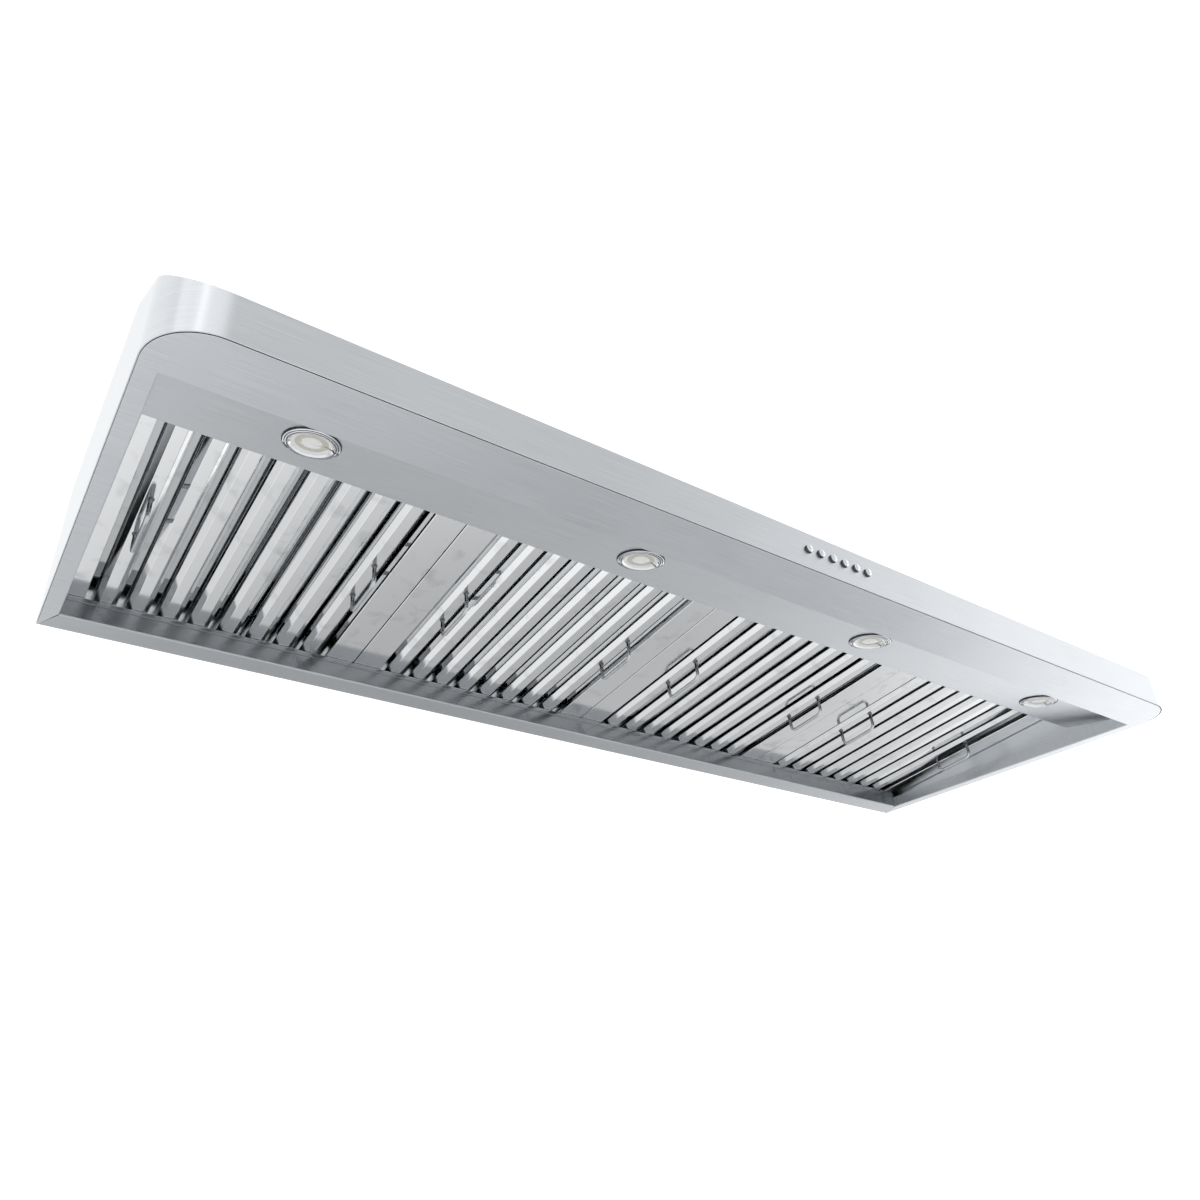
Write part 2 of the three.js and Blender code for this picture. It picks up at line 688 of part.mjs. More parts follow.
function motor() {
  const half = MOTOR_LENGTH / 2;
  const profile = [
    [SHAFT_R + GAP, -half],
    [MOTOR_R / 2, -half],
    [MOTOR_R, MOTOR_SHOULDER - half],
    [MOTOR_R, half - MOTOR_SHOULDER],
    [MOTOR_R / 2, half],
    [SHAFT_R + GAP, half],
  ];
  return turned(profile).rotate([0, 90, 0]);
}

// Strap that hangs the motor from the collar's plate.
function motorStrap() {
  const inner = MOTOR_R + GAP;
  const outer = inner + STRAP;
  const top = NECK_TOP - BLOWER_Z;
  const shape = new THREE.Shape();
  shape.moveTo(-inner, top);
  shape.lineTo(-outer, top);
  shape.lineTo(-outer, 0);
  shape.absarc(0, 0, outer, Math.PI, 2 * Math.PI, false);
  shape.lineTo(outer, top);
  shape.lineTo(inner, top);
  shape.lineTo(inner, 0);
  shape.absarc(0, 0, inner, 2 * Math.PI, Math.PI, true);
  return acrossX(shape, -STRAP_WIDTH / 2, STRAP_WIDTH / 2);
}

function blowers() {
  const group = new THREE.Group();
  const scrollCase = volute();
  const cage = wheel();
  for (const [number, side] of [[1, -1], [2, 1]]) {
    const blower = new THREE.Group();
    blower.position.set(side * BLOWER_X, BLOWER_Y, BLOWER_Z);
    for (const [letter, end] of [["a", -1], ["b", 1]]) {
      const shell = part("volute_" + number + letter, scrollCase, zinc());
      const fan = part("fan_wheel_" + number + letter, cage, zinc());
      shell.position.x = end * VOLUTE_X;
      fan.position.x = end * VOLUTE_X;
      blower.add(shell);
      blower.add(fan);
    }
    const half = BLOWER_WIDTH / 2 - VOLUTE_SHEET;
    const shaft = bar(X, [-half, 0, 0], SHAFT_R, 2 * half, 16);
    blower.add(part("fan_shaft_" + number, shaft, polished()));
    blower.add(part("motor_" + number, motor(), finish("#8b8f92", 0.5, 0.8)));
    blower.add(part("motor_strap_" + number, motorStrap(), zinc()));
    group.add(blower);
  }
  return group;
}

// ---- duct collars and backdraft flaps ----
// Plate under the top cover with a hole over each scroll's neck, and the tube that stands up
// through the cover for the duct to slip over.
function ductCollar() {
  const x = BLOWER_WIDTH / 2;
  const y = COLLAR_DEPTH / 2;
  const low = INSIDE_TOP - COLLAR_SHEET;
  const top = HEIGHT + COLLAR_HEIGHT;
  const wall = COLLAR_SHEET;
  const rim = COLLAR_FLANGE;
  const plate = block([-x - rim, -y - rim, low], [x + rim, y + rim, INSIDE_TOP]);
  const tube = block([-x - wall, -y - wall, low], [x + wall, y + wall, top]);
  const bore = block([-x, -y, INSIDE_TOP], [x, y, top + CUT]);
  const start = [-x - CUT, flapY(), HEIGHT + FLAP_HEIGHT];
  const pin = bar(X, start, FLAP_PIN_R + GAP, 2 * (x + CUT), 12);
  let collar = plate.add(tube).subtract(bore).subtract(pin);
  for (const end of [-1, 1]) {
    const near = end * VOLUTE_X - VOLUTE_WIDTH / 2 + VOLUTE_SHEET;
    const far = end * VOLUTE_X + VOLUTE_WIDTH / 2 - VOLUTE_SHEET;
    const reach = NECK_DEPTH / 2 - VOLUTE_SHEET;
    collar = collar.subtract(block([near, -reach, low - CUT], [far, reach, INSIDE_TOP + CUT]));
  }
  return collar;
}

// The flap's pin runs along the collar's back wall.
function flapY() {
  return COLLAR_DEPTH / 2 - FLAP_PLAY - FLAP_PIN_R;
}

function damperFlap() {
  const x = BLOWER_WIDTH / 2;
  const z = HEIGHT + FLAP_HEIGHT;
  const half = COLLAR_SHEET / 2;
  const front = FLAP_PLAY - COLLAR_DEPTH / 2;
  const end = x + COLLAR_SHEET + GAP;
  const plate = block([FLAP_PLAY - x, front, z - half], [x - FLAP_PLAY, flapY(), z + half]);
  const pin = bar(X, [-end, flapY(), z], FLAP_PIN_R, 2 * end, 12);
  return plate.add(pin);
}

function outlets() {
  const group = new THREE.Group();
  for (const [number, side] of [[1, -1], [2, 1]]) {
    const outlet = new THREE.Group();
    outlet.position.set(side * BLOWER_X, COLLAR_Y, 0);
    outlet.add(part("duct_collar_" + number, ductCollar(), zinc()));
    outlet.add(part("damper_flap_" + number, damperFlap(), zinc()));
    group.add(outlet);
  }
  return group;
}

// ---- wiring box ----
function wiringBox() {
  const x = BOX_WIDTH / 2;
  const back = BOX_BACK;
  const front = back - BOX_DEPTH;
  const low = INSIDE_TOP - BOX_HEIGHT;
  const shell = block([-x, front, low], [x, back, INSIDE_TOP]);
  const hollow = block(
    [SHEET - x, front + SHEET, low - CUT],
    [x - SHEET, back - SHEET, INSIDE_TOP - SHEET],
  );
  const hole = bar(Z, [0, DEPTH - BUSHING_FROM_BACK, low], BUSHING_R + GAP, BOX_HEIGHT + CUT);
  return shell.subtract(hollow).subtract(hole);
}

function wiringLid() {
  const x = BOX_WIDTH / 2;
  const top = INSIDE_TOP - BOX_HEIGHT - GAP;
  return block([-x, BOX_BACK - BOX_DEPTH, top - SHEET], [x, BOX_BACK, top]);
}

// Ring that lines the cable hole, pushed up from inside the wiring box to sit flush on top.
function cableBushing() {
  const rim = BUSHING_R + BUSHING_RIM;
  const bore = BUSHING_R - BUSHING_WALL;
  const seat = INSIDE_TOP - SHEET - GAP;
  const ring = turned([
    [rim, seat - BUSHING_WALL],
    [rim, seat],
    [BUSHING_R, seat],
    [BUSHING_R, HEIGHT],
    [bore, HEIGHT],
    [bore, seat - BUSHING_WALL],
  ]);
  return ring.translate([0, DEPTH - BUSHING_FROM_BACK, 0]);
}

function hood() {
  const origin = new THREE.Group();
  const group = new THREE.Group();
  group.add(part("canopy_skin", canopySkin(), brushed()));
  group.add(part("top_cover", topCover(), brushed()));
  group.add(part("back_panel", backPanel(), zinc()));
  group.add(part("underside_frame", undersideFrame(), brushed()));
  group.add(part("grease_trough", greaseTrough(), brushed()));
  group.add(part("light_panel", lightPanel(), brushed()));
  group.add(lights());
  group.add(filters());
  group.add(controls());
  group.add(blowers());
  group.add(outlets());
  group.add(part("wiring_box", wiringBox(), zinc()));
  group.add(part("wiring_lid", wiringLid(), zinc()));
  group.add(part("cable_bushing", cableBushing(), dark()));
  group.position.set(0, -TOP_MIDDLE_Y, -HEIGHT);
  origin.add(group);
  return origin;
}

export default hood();
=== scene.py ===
# %% [markdown]
# # A wide kitchen range hood, seen from below
#
# The hood is a folded sheet-steel box that hangs under a wall cabinet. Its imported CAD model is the
# frame: it says where every part is, and this lesson builds finer surfaces round it.
# Nearly everything here is sheet metal, so nearly every shape is a cross-section with small round
# bends, carried along a line. The rest is turned parts, such as buttons and lamp rings.

# %% Load the frame
import math
import bmesh
import bpy
import numpy as np
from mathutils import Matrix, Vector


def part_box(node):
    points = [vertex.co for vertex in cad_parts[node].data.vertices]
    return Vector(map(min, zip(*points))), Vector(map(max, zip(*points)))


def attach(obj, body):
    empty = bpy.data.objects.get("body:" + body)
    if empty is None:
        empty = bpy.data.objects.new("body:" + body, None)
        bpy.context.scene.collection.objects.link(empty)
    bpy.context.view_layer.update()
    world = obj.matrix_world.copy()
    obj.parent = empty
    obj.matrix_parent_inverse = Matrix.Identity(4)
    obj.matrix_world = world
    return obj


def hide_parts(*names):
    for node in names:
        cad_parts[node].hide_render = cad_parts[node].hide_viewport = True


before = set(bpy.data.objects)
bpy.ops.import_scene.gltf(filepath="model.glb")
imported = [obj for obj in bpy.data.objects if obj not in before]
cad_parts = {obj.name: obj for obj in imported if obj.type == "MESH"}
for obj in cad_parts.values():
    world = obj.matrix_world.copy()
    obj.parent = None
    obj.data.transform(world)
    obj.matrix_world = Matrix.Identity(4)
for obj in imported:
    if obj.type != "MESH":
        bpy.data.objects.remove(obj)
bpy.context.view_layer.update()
skin_low, skin_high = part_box("canopy_skin")

# %% [markdown]
# ## Sizes in workshop millimetres
#
# A sheet-metal drawing counts from the front lower edge: x along the front from the middle, y from
# the front towards the wall, z up from the underside. All lengths below are in that system, and
# one function turns them into the metres of the shared frame. Its corner comes from the CAD skin.

# %% Sizes and the change of frame
WIDTH, DEPTH, HEIGHT = (1000 * (b - a) for a, b in zip(skin_low, skin_high))
BAND, SLOPE_RUN, CORNER_R, SHEET = 49.5, 220.0, 57.0, 1.2
GAP, SEAM = 0.3, 1.1
FRONT_STRIP, SIDE_STRIP, BACK_STRIP = 69.7, 19.5, 36.9
SIDE_LIP, TROUGH_LIP, TROUGH_HEM, TROUGH_BACK = 19.0, 28.8, 6.3, 24.0
LIGHT_TILT, LIGHT_RISE, LIGHT_REAR = math.radians(8.6), 21.3, 178.0
FILTER_TILT, FILTER_THICK = math.radians(6.5), 18.0
HALF = WIDTH / 2
OPEN_HALF = HALF - SIDE_STRIP
LIP_Y = DEPTH - BACK_STRIP
CORNER = np.array([0.0, skin_low.y, skin_low.z])


def place(points):
    """Workshop millimetres to frame metres: divide by a thousand and add the corner's place."""
    return np.asarray(points, float) / 1000 + CORNER


def filter_face(y):
    """Height of the filters' lower face: rises from the trough's lip towards the front."""
    return TROUGH_LIP + GAP + (LIP_Y - y) * math.tan(FILTER_TILT)


def light_face(y):
    """Height of the light panel's lower face: rises from the front strip towards the wall."""
    return LIGHT_RISE + (y - FRONT_STRIP) * math.tan(LIGHT_TILT)


print("hood", round(WIDTH), "x", round(DEPTH), "x", round(HEIGHT), "mm")

# %% [markdown]
# ## Tools for folded sheet and turned parts
#
# A press brake never makes a perfectly sharp fold, and that small radius is what catches a line of
# light along every edge. So the main tool rounds the corners of a cross-section. One more point
# just outside each arc keeps the flats flat in the shading. The next tool joins the sections into
# a skin, and the last one welds it, closes its ends and turns its faces outwards.

# %% Section tools


def rounded(corners, radii, steps=4, ease=0.4):
    """Closed outline whose corners give way to arcs that touch both sides: the arc's centre lies on
    the corner's bisector at radius / sin(half the angle). A corner of radius 0 stays a point."""
    p = np.asarray(corners, float)
    r = np.broadcast_to(np.asarray(radii, float), (len(p),)).copy()
    a, b = np.roll(p, 1, 0) - p, np.roll(p, -1, 0) - p
    a /= np.linalg.norm(a, axis=1, keepdims=True)
    b /= np.linalg.norm(b, axis=1, keepdims=True)
    half = np.arccos(np.clip((a * b).sum(1), -1, 1)) / 2
    with np.errstate(all="ignore"):
        reach = (r / np.tan(half))[:, None]
        middle = (a + b) / np.linalg.norm(a + b, axis=1, keepdims=True)
        centre = p + middle * (r / np.sin(half))[:, None]
        turn = (np.pi - 2 * half)[:, None, None]
        t = np.linspace(0, 1, steps + 1)[None, :, None]
        first, last = p + a * reach - centre, p + b * reach - centre
        arc = np.sin((1 - t) * turn) * first[:, None] + np.sin(t * turn) * last[:, None]
        arc = centre[:, None] + arc / np.sin(turn)
    out = (reach + (ease * r)[:, None])
    rows = np.concatenate([(p + a * out)[:, None], arc, (p + b * out)[:, None]], 1)
    keep = np.ones(rows.shape[:2], bool)
    keep[r == 0, 1:] = False
    rows[r == 0, 0] = p[r == 0]
    return rows[keep]


def quads(rows, columns, around=True, along=False):
    """Corner numbers of the quads between neighbouring points of a rows x columns grid."""
    i = np.arange(rows if along else rows - 1)[:, None]
    j = np.arange(columns if around else columns - 1)[None, :]
    k, m = (i + 1) % rows, (j + 1) % columns
    four = (i * columns + j, i * columns + m, k * columns + m, k * columns + j)
    return np.stack([np.broadcast_to(q, (i.size, j.size)) for q in four], -1).reshape(-1, 4)


def grid(points, uv=None, around=True, along=False):
    """Surface through a rows x columns x 3 array of points. Its own map, in metres, runs along the
    rows (u) and round the section (v), by adding up the distances, unless one is given."""
    points = np.asarray(points, float)
    if uv is None:
        step = np.linalg.norm(np.diff(points, axis=0), axis=2).mean(1)
        ring = np.linalg.norm(np.diff(points, axis=1), axis=2).mean(0)
        u = np.concatenate([[0], np.cumsum(step)])[:, None]
        v = np.concatenate([[0], np.cumsum(ring)])[None, :]
        uv = np.stack(np.broadcast_arrays(u, v), -1) / 1000
    rows, columns = points.shape[:2]
    faces = quads(rows, columns, around, along)
    return points.reshape(-1, 3), faces, np.asarray(uv, float).reshape(-1, 2)


def along_x(section, stations):
    """A (y, z) section carried along x. A station is a number, or a function's values for each
    point of the section where the end is cut at a slant."""
    section = np.asarray(section, float)
    x = np.stack([np.broadcast_to(s, (len(section),)) for s in stations])
    yz = np.broadcast_to(section, (len(x), *section.shape))
    return np.concatenate([x[..., None], yz], -1)


def turned(profile, segments):
    """(radius, height) points turned about the z axis: (r cos a, r sin a, h)."""
    profile = np.asarray(profile, float)
    a = np.linspace(0, 2 * np.pi, segments, endpoint=False)[:, None]
    r, h = profile[:, 0], profile[:, 1]
    return np.stack(np.broadcast_arrays(r * np.cos(a), r * np.sin(a), h), -1)


def tilted(points, angle, pivot):
    """Points turned about an x-parallel line and moved to the pivot."""
    c, s = math.cos(angle), math.sin(angle)
    return np.asarray(points) @ np.array([[1, 0, 0], [0, c, s], [0, -s, c]]) + np.asarray(pivot)


def tube(path, radius, sides=16):
    """Round wire along a path in a plane of constant x: centre + r (cos a * side + sin a * x)."""
    path = np.asarray(path, float)
    ahead = np.gradient(path, axis=0)
    ahead /= np.linalg.norm(ahead, axis=1, keepdims=True)
    side = np.cross(ahead, [1.0, 0, 0])
    a = np.linspace(0, 2 * np.pi, sides, endpoint=False)[None, :, None]
    return path[:, None] + radius * (np.cos(a) * side[:, None] + np.sin(a) * np.array([1.0, 0, 0]))


def shown(name, parts, material, body, nodes=(), sharp=32, second=None, where=None):
    """One finished piece: the parts joined, doubles welded, open ends closed, faces turned out.
    Faces whose middle (in millimetres) passes the test "where" get the second material."""
    counts = np.cumsum([0] + [len(p[0]) for p in parts])
    points = place(np.concatenate([p[0] for p in parts]))
    faces = np.concatenate([p[1] + c for p, c in zip(parts, counts)])
    uv = np.concatenate([p[2] for p in parts])
    mesh = bpy.data.meshes.new(name)
    mesh.from_pydata(points, [], faces)
    corner = np.empty(len(mesh.loops), np.int32)
    mesh.loops.foreach_get("vertex_index", corner)
    mesh.uv_layers.new(name="grain").data.foreach_set("uv", uv[corner].ravel())
    work = bmesh.new()
    work.from_mesh(mesh)
    bmesh.ops.remove_doubles(work, verts=work.verts, dist=2e-6)
    bmesh.ops.holes_fill(work, edges=[e for e in work.edges if e.is_boundary])
    bmesh.ops.recalc_face_normals(work, faces=work.faces)
    work.to_mesh(mesh)
    work.free()
    mesh.shade_smooth()
    mesh.set_sharp_from_angle(angle=math.radians(sharp))
    piece = bpy.data.objects.new(name, mesh)
    bpy.context.scene.collection.objects.link(piece)
    mesh.materials.append(material)
    if second:
        mesh.materials.append(second)
        middle = np.empty(3 * len(mesh.polygons))
        mesh.polygons.foreach_get("center", middle)
        chosen = where(1000 * (middle.reshape(-1, 3) - CORNER))
        mesh.polygons.foreach_set("material_index", chosen.astype(np.int32))
    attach(piece, body)
    if nodes:
        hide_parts(*nodes)
    print(name, len(mesh.polygons), "faces")
    return piece


# %% [markdown]
# ## Colour and node tools
#
# Paint-chart colours are sRGB hex values, but the renderer mixes light in linear numbers, so one
# function converts them. One more function adds a shader node: each entry is either a setting of
# the node, a fixed value of a socket, or a link from another node.

# %% Colour and node tools


def linear(code):
    """sRGB hex to linear: v / 12.92 below 0.04045, else ((v + 0.055) / 1.055) ** 2.4."""
    v = np.array([int(code[i : i + 2], 16) for i in (1, 3, 5)]) / 255
    return (*np.where(v <= 0.04045, v / 12.92, ((v + 0.055) / 1.055) ** 2.4), 1.0)


def add(tree, kind, **entries):
    """A node of that kind. Names are the sockets' or settings' own, with _ for a space, or the
    letter i and a socket's number."""
    node = tree.nodes.new("ShaderNode" + kind)
    for name, value in entries.items():
        if hasattr(node, name):
            setattr(node, name, value)
            continue
        plain = name.replace("_", " ")
        socket = node.inputs[int(name[1:]) if name[1:].isdigit() else plain]
        if isinstance(value, bpy.types.NodeSocket):
            tree.links.new(value, socket)
        else:
            socket.default_value = value
    return node


def material(name):
    """An empty material: its node tree and the shader that its surface uses."""
    new = bpy.data.materials.new(name)
    new.use_nodes = True
    tree = new.node_tree
    tree.nodes.clear()
    shader = add(tree, "BsdfPrincipled")
    output = add(tree, "OutputMaterial", Surface=shader.outputs[0])
    output.is_active_output = True
    return new, tree, shader


def fix(shader, **values):
    """Values that are the same all over the surface, set on the shader's own sockets."""
    for name, value in values.items():
        shader.inputs[name.replace("_", " ")].default_value = value


def feed(tree, shader, name, socket):
    tree.links.new(socket, shader.inputs[name])


# %% [markdown]
# ## Brushed stainless steel
#
# The canopy is 304 stainless sheet with a No. 4 finish: a belt leaves short parallel scratches
# about 0.1 mm wide. They spread reflections across the grain and keep them fairly sharp along it,
# which is why a brushed corner shows soft upright bands. Scratches that fine would vanish here, so
# they are drawn about 1 mm wide and 90 mm long. The shader's anisotropy does the spreading.
# The trough, at the back by the wall, gets a slightly darker tint of the same sheet as painted shade.

# %% Brushed steel
SCRATCH_LONG, SCRATCH_WIDE, CLOUD = 0.09, 0.0011, 0.22  # metres
STREAK_SHARE, CLOUD_SHARE = 0.7, 0.3
ACROSS_GRAIN = 0.25  # a quarter turn from the map's tangent, which follows the grain


def brushed(name, dark, light, rough_low, rough_high, spread, own_map=True):
    """Streaks of noise stretched along the grain tint the steel, vary its gloss and nudge its
    normal; a slow noise adds the cloudy tone of rolled sheet."""
    new, tree, shader = material(name)
    if own_map:
        base = add(tree, "UVMap", uv_map="grain").outputs[0]
    else:
        base = add(tree, "TexCoord").outputs["Object"]
    stretch = (1 / SCRATCH_LONG, 1 / SCRATCH_WIDE, 1 / SCRATCH_WIDE)
    lines = add(tree, "Mapping", Vector=base, Scale=stretch).outputs[0]
    streak = add(tree, "TexNoise", Vector=lines, Scale=1.0, Detail=3.0, Roughness=0.6).outputs[0]
    cloud = add(tree, "TexNoise", Vector=base, Scale=1 / CLOUD, Detail=2.0).outputs[0]
    tone = add(tree, "Math", operation="MULTIPLY", i0=streak, i1=STREAK_SHARE)
    both = add(tree, "Math", operation="MULTIPLY_ADD", i0=cloud, i1=CLOUD_SHARE,
               i2=tone.outputs[0])
    colour = add(tree, "Mix", data_type="RGBA", i0=both.outputs[0],
                 i6=linear(dark), i7=linear(light))
    gloss = add(tree, "MapRange", Value=both.outputs[0], From_Min=0.3, From_Max=0.7,
                To_Min=rough_low, To_Max=rough_high)
    bump = add(tree, "Bump", Strength=0.05, Distance=0.0002, Height=streak)
    feed(tree, shader, "Base Color", colour.outputs[2])
    feed(tree, shader, "Roughness", gloss.outputs[0])
    feed(tree, shader, "Normal", bump.outputs[0])
    fix(shader, Metallic=1.0)
    if own_map:
        grain = add(tree, "Tangent", direction_type="UV_MAP", uv_map="grain")
        feed(tree, shader, "Tangent", grain.outputs[0])
        fix(shader, Anisotropic=spread, Anisotropic_Rotation=ACROSS_GRAIN)
    return new


# Skin, frame and light panel: soft grey with fine streaks and drawn-out reflections.
brushed_steel = brushed("brushed_stainless_steel", "#b2b6ba", "#dfe2e5", 0.26, 0.36, 0.6)
# A darker tint of the same brushed steel: painted shade on the trough.
brushed_trough_painted_shade = brushed("brushed_stainless_trough_painted_shade", "#a0a4a8", "#cdd0d3", 0.26, 0.36, 0.6)
# The top cover: the same finish without a map of its own, so its streaks run along x.
brushed_plain = brushed("brushed_stainless_top", "#bfc3c7", "#d6d9dc", 0.28, 0.38, 0.0, False)
print("brushed steel ready")

# %% [markdown]
# ## Bright stainless steel and chrome
#
# The baffles are bent from bright-annealed sheet, which comes off the rolls nearly mirror smooth.
# Thin sheet never stays flat when it is folded, so its reflections wobble, and handling leaves
# smears that take the shine off in patches. A slow bump gives the wobble, and a noise that counts
# only above a threshold gives the smears. A film of grease dulls the baffles before the trough.
#
# A mirror needs something dark to show, and a room that is pale all round has nothing dark. So
# faces that are shaded or look at each other get painted shade, a darker tint of their metal: the
# inner row of channels, the trough's lip, the handles, the rings' grooves, the front seam and the
# buttons' walls.

# %% Bright steel
WOBBLE, SMEAR = 0.11, 0.03  # metres
FILM_FROM, FILM_TO = 60, 5  # millimetres before the lip: where the film begins, where it is full


def bright(name, dark, light, rough_low, rough_high, wobble=0.08, film=0.0):
    """Slow noise bends the normal; smears raise the roughness and grey the steel a little. A film
    adds up to its own roughness over the last centimetres before the trough."""
    new, tree, shader = material(name)
    base = add(tree, "TexCoord").outputs["Object"]
    wave = add(tree, "TexNoise", Vector=base, Scale=1 / WOBBLE, Detail=1.0).outputs[0]
    smear = add(tree, "TexNoise", Vector=base, Scale=1 / SMEAR, Detail=4.0,
                Distortion=0.6).outputs[0]
    patch = add(tree, "MapRange", Value=smear, From_Min=0.56, From_Max=0.78)
    colour = add(tree, "Mix", data_type="RGBA", i0=patch.outputs[0],
                 i6=linear(light), i7=linear(dark))
    gloss = add(tree, "MapRange", Value=patch.outputs[0], To_Min=rough_low, To_Max=rough_high)
    bump = add(tree, "Bump", Strength=wobble, Distance=0.002, Height=wave)
    along = add(tree, "SeparateXYZ", Vector=base).outputs["Y"]
    near = add(tree, "MapRange", Value=along, From_Min=(LIP_Y - FILM_FROM) / 1000 + CORNER[1],
               From_Max=(LIP_Y - FILM_TO) / 1000 + CORNER[1], To_Max=film)
    total = add(tree, "Math", operation="ADD", i0=gloss.outputs[0], i1=near.outputs[0])
    feed(tree, shader, "Base Color", colour.outputs[2])
    feed(tree, shader, "Roughness", total.outputs[0])
    feed(tree, shader, "Normal", bump.outputs[0])
    fix(shader, Metallic=1.0)
    return new


# The lower row of baffles: nearly a mirror, with smears, and duller towards the trough.
baffle_steel = bright("bright_annealed_stainless", "#cfd2d4", "#e9ebec", 0.07, 0.16, 0.05, 0.16)
# The inner row: the same sheet, with a darker tint as painted shade from the lower row.
upper_steel_painted_shade = bright("bright_annealed_stainless_inner_row_painted_shade", "#a9acae", "#bfc2c4", 0.05, 0.12,
                     0.03)
# The trough's lip: satin, with a dark tint that is painted shade, so the filters end at a clear line.
lip_painted_shade = bright("bright_annealed_stainless_lip_painted_shade", "#74777a", "#8a8d90", 0.24, 0.32, 0.02)
# Turned and polished: clean, sharp reflections.
polished_steel = bright("polished_stainless", "#c4c7ca", "#dcdfe1", 0.05, 0.10)
# Chrome on wire: a bright line along a grey bar, whose grey tint is painted shade. Its legs are
# darker, up against the baffles: painted shade as well.
chromed_wire_painted_shade = bright("chromed_wire_painted_shade", "#9c9fa2", "#b6b9bc", 0.05, 0.11, 0.02)
# The legs' darker tint is painted shade.
leg_chrome_painted_shade = bright("chromed_wire_leg_painted_shade", "#5c5f62", "#77797c", 0.06, 0.12, 0.02)
# Chrome on the lamp rings, and the painted shade in their grooves and in the front seam.
lamp_chrome = bright("lamp_ring_chrome", "#c3c6c9", "#d9dcdf", 0.05, 0.10, 0.02)
groove_painted_shade = bright("painted_groove_shade", "#2a2c2e", "#3c3f42", 0.35, 0.5, 0.0)
# The buttons' walls, which look at the band close by, get a darker tint as painted shade.
cap_wall_painted_shade = bright("button_wall_painted_shade", "#4c4e51", "#606366", 0.12, 0.2, 0.0)
print("bright steel ready")

# %% [markdown]
# ## Galvanised steel, glass, plastics and the rest
#
# Hidden sheet parts are hot-dip galvanised: zinc freezes in flat crystals a few millimetres to a
# centimetre wide, each reflecting a little differently. Voronoi cells give those. The lens is
# clear pressed glass, whose hollow gets a darker grey tint as painted shade, the lamp's cup is
# metallised plastic, and the motor is cast and painted.

# %% The other finishes
SPANGLE, RIPPLE = 0.009, 0.006  # metres


def zinc(name):
    """Each Voronoi cell gets its own tint and gloss, as frozen zinc crystals do."""
    new, tree, shader = material(name)
    base = add(tree, "TexCoord").outputs["Object"]
    cells = add(tree, "TexVoronoi", Vector=base, Scale=1 / SPANGLE, Randomness=1.0).outputs["Color"]
    grey = add(tree, "SeparateColor", Color=cells).outputs[0]
    colour = add(tree, "Mix", data_type="RGBA", i0=grey,
                 i6=linear("#9ea3a7"), i7=linear("#bcc0c3"))
    gloss = add(tree, "MapRange", Value=grey, To_Min=0.34, To_Max=0.5)
    feed(tree, shader, "Base Color", colour.outputs[2])
    feed(tree, shader, "Roughness", gloss.outputs[0])
    fix(shader, Metallic=1.0)
    return new


def moulded(name, dark, light, rough_low, rough_high, grain, metallic=0.0, depth=0.0001):
    """Two close tints and a fine bump from one noise, as a moulded, cast or painted skin has."""
    new, tree, shader = material(name)
    base = add(tree, "TexCoord").outputs["Object"]
    noise = add(tree, "TexNoise", Vector=base, Scale=1 / grain, Detail=3.0).outputs[0]
    colour = add(tree, "Mix", data_type="RGBA", i0=noise, i6=linear(dark), i7=linear(light))
    gloss = add(tree, "MapRange", Value=noise, To_Min=rough_low, To_Max=rough_high)
    bump = add(tree, "Bump", Strength=0.3, Distance=depth, Height=noise)
    feed(tree, shader, "Base Color", colour.outputs[2])
    feed(tree, shader, "Roughness", gloss.outputs[0])
    feed(tree, shader, "Normal", bump.outputs[0])
    fix(shader, Metallic=metallic)
    return new


galvanised = zinc("galvanised_steel")  # dull blue-grey patches
# Nylon is black with a satin grain, the motor's paint has a slight metal sheen, and the board has
# a satin green lacquer. The reflector is silvery and warm, and the phosphor a dull pale yellow.
nylon = moulded("black_nylon", "#151517", "#222326", 0.42, 0.55, 0.0015)
casing = moulded("painted_motor_casing", "#3a3d40", "#4a4e52", 0.40, 0.55, 0.003, 0.4)
circuit = moulded("green_circuit_board", "#174a2c", "#22663d", 0.35, 0.5, 0.004)
reflector = moulded("metallised_reflector", "#d2d2cd", "#ebeae5", 0.10, 0.22, 0.004, 0.85)
phosphor = moulded("lamp_phosphor", "#e3d3a4", "#f2e6bf", 0.45, 0.6, 0.0015)
# Pressed glass: clear, a little hazy in patches. Its hollow gets a darker grey tint with a fine bump,
# as painted shade.
glass, glass_tree, glass_shader = material("clear_pressed_glass")
fix(glass_shader, Transmission_Weight=0.35, IOR=1.5, Base_Color=linear("#fdfdfc"))
ripple_at = add(glass_tree, "TexCoord").outputs["Object"]
ripple = add(glass_tree, "TexNoise", Vector=ripple_at, Scale=1 / RIPPLE, Detail=1.0).outputs[0]
haze = add(glass_tree, "MapRange", Value=ripple, To_Min=0.02, To_Max=0.09)
feed(glass_tree, glass_shader, "Roughness", haze.outputs[0])
lens_hollow_painted_shade = moulded("lens_hollow_glass_painted_shade", "#a8a69e", "#bfbdb5", 0.06, 0.14, 0.003, 0.0, 0.0002)
print(len(bpy.data.materials), "materials")

# %% [markdown]
# ## The canopy's skin
#
# One strip of sheet wraps the left side, the front band and the right side, bent round a form at
# the front corners. Its section is only a thin rectangle with softened edges, so the shape is all
# in the path: straight, quarter circle, straight, quarter circle, straight. The six button holes
# sit in flat cells: each cell is a fan of points between a circle and the rectangle round it.

# %% Skin section and path
EDGE_R, BUTTONS, BUTTON_PITCH, BUTTON_R, BUTTON_Z, BUTTON_PLAY = 0.4, 6, 20.0, 4.7, 26.0, 0.5
BUTTON_X = (np.arange(BUTTONS) - (BUTTONS - 1) / 2) * BUTTON_PITCH


